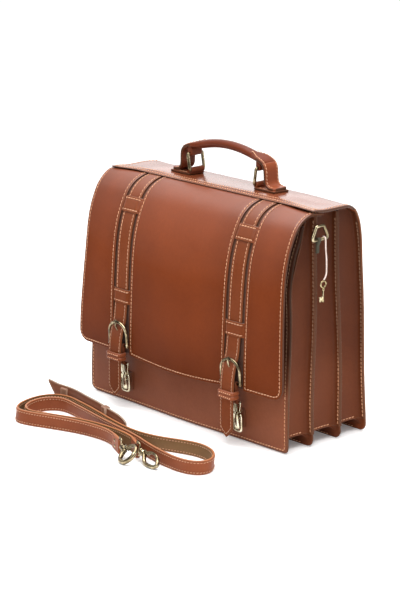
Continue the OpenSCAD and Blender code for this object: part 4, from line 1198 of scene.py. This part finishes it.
def tails():
    for s, n in SIDES:
        x0 = s * 115.0

        def F(u, t, d, x0=x0):
            u, t, d = np.broadcast_arrays(np.asarray(u, float), t, d)
            y, z, ny, nz = TAIL.at(t)
            return np.stack([x0 - 0.8 + u, y + ny * d, z + nz * d], -1)

        tip = TAIL_TIP[s]
        end = TAIL.t_at(z=tip)
        rows = np.concatenate([np.linspace(0, TAIL.t_at(z=tip + 17), 60), np.linspace(TAIL.t_at(z=tip + 16), end, 24)])
        _, z, _, _ = TAIL.at(rows)
        w = np.maximum(tail_width(z, tip), 0.9)
        tau = fine(-1, 1, 0.2, 0.08, (0.16, 0.21, 0.25, 0.29, 0.34))
        U, V = w[:, None] * tau[None, :], np.repeat(rows[:, None], len(tau), 1)
        slope = np.gradient(w, rows)
        e = (w[:, None] - np.abs(U)) / np.sqrt(1 + slope[:, None] ** 2)
        e = np.minimum(e, np.maximum(end - V, 0))
        o = Build().add(*shell(F, U, V, e, 2.4, 1.0, groove=((3.0, 0.35, 0.8),))).done("tail_%s_leather" % n, LIT, "leather_lit")
        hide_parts("tail_" + n)
        bend(o, TAIL_BEND[s])
        zs = np.concatenate([np.linspace(146, tip + 17, 50), np.linspace(tip + 16, tip + 4.4, 24)])
        ts = np.array([TAIL.t_at(z=v) for v in zs])
        ws = np.maximum(tail_width(zs - 0.9, tip) - 3.0 - 1.2 * sm(tip + 14, tip + 6, zs), 0.0)
        q = np.vstack([np.stack([-ws, ts], -1), np.stack([ws, ts], -1)[::-1]])
        seam("tail_" + n, F, q, deep=0.05, pitch=4.8)

        up = LIFT[s]
        lift = np.array([0, up])

        # horseshoe buckle with its bar
        def at(x, h, out=0.0):
            return [x0 + x, BAR_Y - h * math.sin(LEAN) - out, BAR_Z + up + h * math.cos(LEAN)]

        line = [at(-HALF, h) for h in np.linspace(-0.5, ARCH, 10)]
        line += [at(-HALF * math.cos(a), ARCH + 16.2 * math.sin(a)) for a in np.linspace(0.06, math.pi - 0.06, 36)]
        line += [at(HALF, h) for h in np.linspace(ARCH, -0.5, 10)]
        b = Build().add(*tube(line, 2.1, 16, False, up=(0, math.cos(LEAN), math.sin(LEAN)), flat=1.05))
        b.add(*tube([at(x, 0) for x in np.linspace(-HALF, HALF, 12)], 1.7, 14, False, up=(0, 0, 1)))
        for k in (-1, 1):
            b.add(*lathe([(-2.0, 1.8), (-1.8, 2.3), (1.8, 2.3), (2.0, 1.8)], at(HALF * k, 0), (1, 0, 0), 20))
        put(b.done("buckle_%s_metal" % n, BRASS, "brass"), n + "_tail", "buckle_" + n)
        # prong
        line = spline([[x0, -79.6, 87.4], [x0, -79.4, 94], [x0, -79.4, 101], [x0, -80.6, 106.5], [x0, -82.9, 111], [x0, -83.7, 115.5], [x0, -82.8, 120.2]], 8) + [[0, 0, up]]
        b = Build().add(*tube(line, 1.5, 12, False, up=(1, 0, 0), flat=0.9, taper=np.linspace(1.05, 0.8, len(line))))
        b.add(*lathe([(-2.2, 2.4), (-2.0, 3.0), (2.0, 3.0), (2.2, 2.4)], [x0, BAR_Y, BAR_Z + up], (1, 0, 0), 20))
        put(b.done("prong_%s_metal" % n, BRASS, "brass"), n + "_prong", "prong_" + n)
        # chape folded round the bar, and its narrow end round the clip's eye
        a = np.radians(np.linspace(200, -20, 18))
        top = np.stack([BAR_Y + 3.4 * np.cos(a), BAR_Z + 3.4 * np.sin(a)], -1)
        q = np.vstack([[[-80.9, 60.6], [-81.1, 72]], top, [[-77.2, 74], [-77.1, 60.6]]]) + lift
        b = Build().add(*slab(rounded(q, 0.9, True, 3), x0 - 11.8, x0 + 11.8, lambda p, h: np.column_stack([np.full(len(p), h), p]), 0.8))
        a = np.radians(np.linspace(215, 395, 14))
        eye = np.stack([-71.5 + 3.1 * np.cos(a), 57 + 3.1 * np.sin(a)], -1)
        q = np.vstack([[[-78.6, 63.6], [-80.6, 62.4], [-80.2, 59.6]], eye]) + lift
        b.add(*slab(rounded(q, 0.9, True, 3), x0 - 7.3, x0 + 7.3, lambda p, h: np.column_stack([np.full(len(p), h), p]), 0.7))
        put(b.done("chape_%s_leather" % n, CHAPE, "leather"), n + "_tail", "chape_" + n)
        # double-ridged loop round tail and chape
        path = resample(rounded([[x0 - 14.6, -88.2, 0], [x0 + 12.9, -88.2, 0], [x0 + 12.9, -76.8, 0], [x0 - 14.6, -76.8, 0]], 3.6, True), n=90)[:-1] + [[0, 0, up + 1.6]]
        zz = np.linspace(62.7, 73.9, 23)
        ridge = 0.35 + 1.55 * np.sqrt(np.maximum(1 - ((zz - np.where(zz < 68.3, 65.5, 71.1)) / 2.78) ** 2, 0))
        sec = np.vstack([np.stack([-ridge, zz], -1), [[0.4, 74.0], [0.95, 73.5], [0.95, 63.1], [0.4, 62.6]]])
        b = Build().add(*sweep(path, sec, True))
        b.e[-1][:] = np.tile(np.concatenate([np.clip(ridge * 3, 0.9, 9), np.full(4, 2.0)]), len(path))
        put(b.done("loop_%s_leather" % n, STRAP, "leather_lit"), n + "_tail", "loop_" + n)
        for z in (65.5, 71.2):
            x = np.linspace(-11.6, 11.6, 30)
            sew("tailgear_" + n, np.stack([x0 + x, np.full(30, -89.9), np.full(30, z + up + 1.6)], -1), np.repeat([[0, -1.0, 0.25]], 30, 0), pitch=3.6, length=3.0, width=1.5, height=0.4, tilt=14)


tails()


def clips():
    c3, s3 = math.cos(math.radians(3)), math.sin(math.radians(3))
    for s, n in SIDES:
        x0 = s * 115.0

        def w(p, x0=x0, s=s):
            p = np.asarray(p, float).reshape(-1, 3)
            return np.stack([x0 + 3.0 + 1.2 * p[:, 0], -71.5 + p[:, 1] * c3 - p[:, 2] * s3, 57 + LIFT[s] + p[:, 1] * s3 + p[:, 2] * c3], -1)

        Y = np.array([0, c3, s3])
        up = w([0, 0, 1])[0] - w([0, 0, 0])[0]
        b = Build()
        # yoke: the eye bar, and a folded plate that narrows down to the cross bar, with a slot on each side of its ridge
        b.add(*tube(w([[x, 0, 0] for x in np.linspace(-6.2, 6.2, 10)]), 1.5, 12, False, up=(0, 0, 1)))
        for k in (-1, 1):
            q = [[6.6 * k, 1.2], [6.4 * k, -5.0], [5.0 * k, -12.8], [2.2 * k, -12.8], [2.9 * k, -5.0], [3.1 * k, 1.2]]
            b.add(*slab(rounded(q, 0.9, True, 5), -1.5, 1.3, lambda p, h, k=k: w(np.stack([p[:, 0], h - 1.5 + 0.34 * np.abs(p[:, 0]), p[:, 1]], -1)), 0.6))
        q = rounded([[-1.5, 1.0], [1.5, 1.0], [1.2, -12.6], [-1.2, -12.6]], 0.7, True, 5)
        b.add(*slab(q, -2.6, 0.9, lambda p, h: w(np.stack([p[:, 0], np.full(len(p), h), p[:, 1]], -1)), 0.7))
        b.add(*tube(w([[x, 0, -12.4] for x in np.linspace(-5.0, 5.0, 10)]), 1.5, 12, False, up=(0, 0, 1)))
        # body: a frame with round lower corners under a solid cheek
        rim = rounded([[-6.3, -16.6], [6.3, -16.6], [6.3, -39.8], [-6.3, -39.8]], [1.4, 1.4, 4.6, 4.6], True, 9)
        rim = resample(np.vstack([rim, rim[:1]]), 1.2)[:-1]
        b.add(*tube(w(np.column_stack([rim[:, 0], 0 * rim[:, 0], rim[:, 1]])), 1.6, 16, True, up=Y, flat=1.0))
        q = rounded([[-6.6, -15.4], [6.6, -15.4], [6.2, -20.5], [3.4, -23.5], [-3.4, -23.5], [-6.2, -20.5]], 1.2, True, 5)
        b.add(*slab(q, -1.7, 1.3, lambda p, h: w(np.stack([p[:, 0], np.full(len(p), h), p[:, 1]], -1)), 0.6))
        put(b.done("clip_%s_metal" % n, CLIP_METAL, "brass"), n + "_clip", "clip_" + n)
        b = Build()
        b.add(*lathe([(-3.2, 1.9), (-3.0, 2.4), (3.0, 2.4), (3.2, 1.9)], w([0, 0, -14])[0], (1, 0, 0), 24))
        # tongue: two facets meeting in a ridge, wider towards its foot
        zz = np.concatenate([[-15.6, -16.2, -17.2], np.linspace(-19, -33, 9), [-35.0, -36.4, -37.0]])
        wide = np.interp(zz, [-37, -36.4, -35, -33, -24, -16.2, -15.6], [2.2, 3.6, 4.3, 4.4, 3.1, 2.4, 1.8])
        high = np.interp(zz, [-37, -36.4, -35, -30, -20, -16.2, -15.6], [2.1, 2.5, 3.0, 4.4, 4.2, 3.4, 2.8])
        sec = np.array([[-1, 0], [-1, 0.18], [-0.14, 0.94], [0, 1.0], [0.14, 0.94], [1, 0.18], [1, 0]])
        rings_ = [w(np.column_stack([sec[:, 0] * a, -1.7 - sec[:, 1] * (h - 1.7), np.full(len(sec), z)])) for z, a, h in zip(zz, wide, high)]
        m = len(sec)
        b.add(np.concatenate(rings_), grid_faces(len(zz), m, 0, False, True) + [list(range(m))[::-1], [(len(zz) - 1) * m + k for k in range(m)]])
        put(b.done("lever_%s_metal" % n, CLIP_METAL, "brass"), n + "_lever", "lever_" + n)
        # leather patch on the panel, and the stud that the clip catches on
        b = Build()
        q = rounded([[x0 - 8, 20], [x0 + 8, 20], [x0 + 8, 46], [x0 - 8, 46]], 3, True)
        b.add(*slab(q, -61.6, -59.9, lambda p, h: np.stack([p[:, 0], np.full(len(p), h), p[:, 1]], -1), 0.4))
        put(b.done("catch_patch_%s_leather" % n, FRONT_LEATHER, "leather"), "bag")
        b = Build()
        b.add(*lathe([(0, 3.4), (0.8, 3.0), (1.2, 2.4), (7.2, 2.3), (8.2, 1.9), (8.5, 1.0)], [x0, -60.6, 33], (0, -1, 0), 20))
        for k in (24, 42):
            b.add(*lathe([(0, 1.5), (0.6, 1.4), (1.0, 0.8), (1.1, 0.3)], [x0, -61.0, k], (0, -1, 0), 16))
        put(b.done("catch_%s_metal" % n, BRASS, "brass"), "bag", "catch_" + n)


clips()

# ---------------------------------------------------------------- handle


def handle():
    half = [[0, 377], [20, 376], [40, 373], [55, 369.4], [66, 366], [74, 363.2], [80, 359.8], [84, 353.6], [85.2, 345], [85.6, 337], [87.2, 331.8], [91.2, 329],
            [96.5, 328.4], [102.6, 328.3]]
    line = spline([[-x, z] for x, z in half[:0:-1]] + half, 12)
    line = resample(line, n=2 * int(lengths(line)[-1] / 3.0) + 1)
    T = unit(np.gradient(line, axis=0))
    Nn = np.stack([T[:, 1], -T[:, 0]], -1)  # towards the inner side of the bow
    ln = lengths(line)
    tt = np.abs(ln - ln[-1] / 2)
    flat = sm(52, 70, tt)
    wide = 7.2 + 5.3 * flat
    thick = 11.6 - 6.4 * sm(50, 72, tt) - 1.0 * sm(80, 100, tt)
    power = 2.0 + 4.0 * flat
    a = np.linspace(0, 2 * math.pi, 44, endpoint=False)
    cx, sx = np.cos(a), np.sin(a)
    yy = wide[:, None] * np.sign(cx) * np.abs(cx) ** (2 / power[:, None])
    nn = thick[:, None] / 2 * np.sign(sx) * np.abs(sx) ** (2 / power[:, None])
    # round end of the foot
    last = ln[-1] / 2 - tt
    yy = yy * np.sqrt(np.clip(1 - (1 - np.clip(last / 5.0, 0, 1)) ** 2 * 0.45, 0, 1))[:, None]
    depth = thick[:, None] / 2 - nn
    rings = np.stack([line[:, 0, None] + Nn[:, 0, None] * depth, 25 + yy, line[:, 1, None] + Nn[:, 1, None] * depth], -1)
    edge = (wide[:, None] - np.abs(yy)) * 1.3 + 9 * (1 - flat[:, None])
    edge = np.minimum(edge, 0.2 + last[:, None])

    def loft(rows):
        n, m = len(rows), len(a)
        faces = grid_faces(n, m, 0, False, True) + [list(range(m))[::-1], [(n - 1) * m + k for k in range(m)]]
        return rings[rows].reshape(-1, 3), faces, edge[rows].ravel()

    cut = np.where(np.abs(line[:, 0]) <= 80.5)[0]
    i0, i1 = cut[0], cut[-1]
    b = Build().add(*loft(np.arange(i0, i1 + 1)))
    for s in (-1, 1):
        # tongue down to the metal loop
        a2 = np.radians(np.linspace(180, 360, 16))
        c = s * 68.3
        q = np.vstack([[[c - 4.0, 362.4]], np.stack([c + 4.0 * np.cos(a2), 351 + 4.0 * np.sin(a2)], -1), [[c + 4.0, 362.4]]])
        b.add(*slab(q, 15, 35, lambda p, h: np.column_stack([p[:, 0], np.full(len(p), h), p[:, 1]]), 0.9))
    o = b.done("handle_grip_leather", HANDLE, "leather_lit")
    put(o, "lid", "handle_grip")
    for s, n in SIDES:
        rows = np.arange(i1, len(line)) if s > 0 else np.arange(0, i0 + 1)
        bb = Build().add(*loft(rows))
        keep = np.where((line[:, 0] * s > 0) & (tt > 50) & (last > 5))[0]
        for k in (-1, 1):
            off = k * (wide[keep] - 2.7)
            P = np.stack([line[keep, 0] + Nn[keep, 0] * 0.15, 25 + off, line[keep, 1] + Nn[keep, 1] * 0.15], -1)
            sew("handle", P, np.stack([-Nn[keep, 0], 0 * off, -Nn[keep, 1]], -1), pitch=4.8)

        # patch on the lid
        def G(x, y, d, s=s):
            x, y, d = np.broadcast_arrays(np.asarray(x, float), y, d)
            return F_lid(s * x, np.interp(-y, -LID.q[:, 0], LID.s), d)

        U, V, e = panel_grid(64.8, 103.4, 11.3, 38.7, 2, 2, du=2.4, dv=2.4, r=1.2, extra=(2.2, 2.9, 3.6))
        bb.add(*shell(G, U, V, e, 3.2, 1.2, d0=-3.1))
        for y in (14.0, 36.0):
            seam("handle", G, [[72, y], [100, y]], deep=-3.0, pitch=4.8)
        # roll round the loop's lower bar
        a3 = np.radians(np.linspace(-70, 250, 26))
        out = np.stack([64.6 + 4.1 * np.cos(a3), 328.0 + 4.1 * np.sin(a3)], -1)
        q = np.vstack([out, [[61.4, 322.8], [68, 322.8]]])
        bb.add(*slab(q, 13.6, 36.4, lambda p, h, s=s: np.column_stack([s * p[:, 0], np.full(len(p), h), p[:, 1]]), 0.9))
        # right foot in a lighter copy of the handle leather, left foot in the handle leather: painted light and shade
        put(bb.done("handle_foot_%s_leather" % n, FOOT_LIT if s > 0 else HANDLE, "leather_lit"), "lid", "handle_foot_" + n)
        p = resample(rounded([[s * 64.6, 12, 328.2], [s * 68.3, 12, 351], [s * 68.3, 38, 351], [s * 64.6, 38, 328.2]], 3.0, True), n=90)[:-1]
        put(Build().add(*tube(p, 2.2, 14, True, up=(1, 0, 0))).done("handle_loop_%s_metal" % n, BRASS, "brass"), "lid", "handle_loop_" + n)


handle()

# ---------------------------------------------------------------- side rings and their tabs


def rings():
    for s, n in SIDES:
        y = -1.5
        q = [[y - 13, 280], [y - 13, 285], [y - 6.5, 298], [y + 6.5, 298], [y + 13, 285], [y + 13, 280]]
        p = resample(rounded(q, 3.6, True), n=110)[:-1]
        P = np.column_stack([np.full(len(p), s * RING_X), p])
        put(Build().add(*tube(P, 2.2, 16, True, up=(1, 0, 0))).done("ring_%s_metal" % n, BRASS, "brass"), n + "_ring", "ring_" + n)
        a = np.radians(np.linspace(-30, 200, 18))
        q = np.vstack([[[199.4, 262.0], [201.6, 262.0], [202.2, 272]], np.stack([RING_X + 3.0 * np.cos(a), 280 + 3.0 * np.sin(a)], -1), [[199.4, 276]]])
        b = Build().add(*slab(rounded(q, 0.8, True, 3), -6.6, -1.4, lambda p, h, s=s: np.column_stack([s * p[:, 0], np.full(len(p), h), p[:, 1]]), 0.8))
        put(b.done("ring_tab_%s_leather" % n, OLIVE, "leather_lit"), "bag", "ring_tab_" + n)


rings()

# ---------------------------------------------------------------- the sewing itself

for key_, part in sewing.items():
    o = part.done("stitching_" + key_, {"bag": THREAD_BAG, "belt": THREAD_BELT, "tail_left": THREAD_TAIL, "tail_right": THREAD_TAIL}.get(key_, THREAD), "cord")
    if key_ == "lid":
        bend(o, LID_BEND)
    elif key_ == "flap":
        bend(o, FLAP_BEND)
    elif key_.startswith("tail_"):
        bend(o, TAIL_BEND[-1 if key_.endswith("left") else 1])
    elif key_.startswith("tailgear_"):
        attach(o, key_.split("_")[1] + "_tail")
    else:
        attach(o, {"bag": "bag", "keepers": "flap", "handle": "lid", "belt": "shoulder_strap"}[key_])

float(lengths(cord_line)[-1]) * MM

# ---------------------------------------------------------------- floor and light


def floor_and_light():
    m, N, L, b = new_material("floor")
    co = N("ShaderNodeTexCoord").outputs["Object"]
    L(ramp(N, L, noise(N, L, co, 3, 2), (0.3, (0.95, 0.95, 0.95)), (0.7, (0.97, 0.97, 0.97))), b.inputs["Base Color"])
    b.inputs["Roughness"].default_value = 0.6
    b.inputs["Specular IOR Level"].default_value = 0.2
    b.inputs["Emission Color"].default_value = (1, 1, 1, 1)
    b.inputs["Emission Strength"].default_value = 0.13
    me = bpy.data.meshes.new("floor")
    me.from_pydata([(-1.7, -1.7, 0), (1.7, -1.7, 0), (1.7, 1.7, 0), (-1.7, 1.7, 0)], [], [(0, 1, 2, 3)])
    me.materials.append(m)
    f = bpy.data.objects.new("floor", me)
    bpy.context.scene.collection.objects.link(f)
    # white backdrop behind the bag, dimmer room in front of it
    world = bpy.data.worlds.new("world")
    world.use_nodes = True
    WN, WL = world.node_tree.nodes.new, world.node_tree.links.new
    turn = WN("ShaderNodeMapping")
    turn.inputs["Scale"].default_value = (0.5, 0.5, 0.5)
    turn.inputs["Rotation"].default_value = (0, 0, math.atan2(-0.662, -0.749))
    turn.inputs["Location"].default_value = (0.5, 0, 0)
    WL(WN("ShaderNodeTexCoord").outputs["Generated"], turn.inputs[0])
    sweep_ = WN("ShaderNodeTexGradient")
    WL(turn.outputs[0], sweep_.inputs[0])
    WL(ramp(WN, WL, sweep_.outputs["Fac"], (0.0, (0.32,)), (0.55, (0.37,)), (0.86, (0.98,)), (1.0, (1.04,))), world.node_tree.nodes["Background"].inputs[0])
    world.node_tree.nodes["Background"].inputs[1].default_value = 1.0
    # the same white backdrop on every side
    plain = WN("ShaderNodeBackground")
    plain.inputs[0].default_value = (1.04, 1.04, 1.04, 1)
    seen = WN("ShaderNodeMixShader")
    WL(WN("ShaderNodeLightPath").outputs["Is Camera Ray"], seen.inputs[0])
    WL(world.node_tree.nodes["Background"].outputs[0], seen.inputs[1])
    WL(plain.outputs[0], seen.inputs[2])
    WL(seen.outputs[0], world.node_tree.nodes["World Output"].inputs[0])
    bpy.context.scene.world = world

    def area(name, at, to, size, power, colour=(1, 1, 1)):
        d = bpy.data.lights.new(name, "AREA")
        d.shape, d.size, d.size_y, d.energy, d.color = "RECTANGLE", size[0], size[1], power, colour
        o = bpy.data.objects.new(name, d)
        bpy.context.scene.collection.objects.link(o)
        v = np.array(at, float) - np.array(to, float)
        z = unit(v)
        x = unit(np.cross([0, 0, 1.0], z)) if abs(z[2]) < 0.99 else np.array([1.0, 0, 0])
        y = np.cross(z, x)
        o.visible_camera = False
        o.matrix_world = Matrix([[x[i], y[i], z[i], at[i]] for i in range(3)] + [[0, 0, 0, 1]])

    area("top", (0.1, -0.15, 2.2), (0, 0, 0.2), (2.6, 2.2), 97)
    area("front", (0.8, -1.2, 1.0), (0.05, 0, 0.15), (1.0, 1.0), 6)
    area("right", (2.3, 1.0, 0.7), (0.1, 0, 0.1), (1.0, 1.0), 8)
    area("back", (-1.45, 1.4, 0.92), (0.0, 0, 0.32), (0.9, 0.6), 2.0)
    v = bpy.context.scene.view_settings
    v.view_transform = "Standard"
    v.look = "None"


floor_and_light()
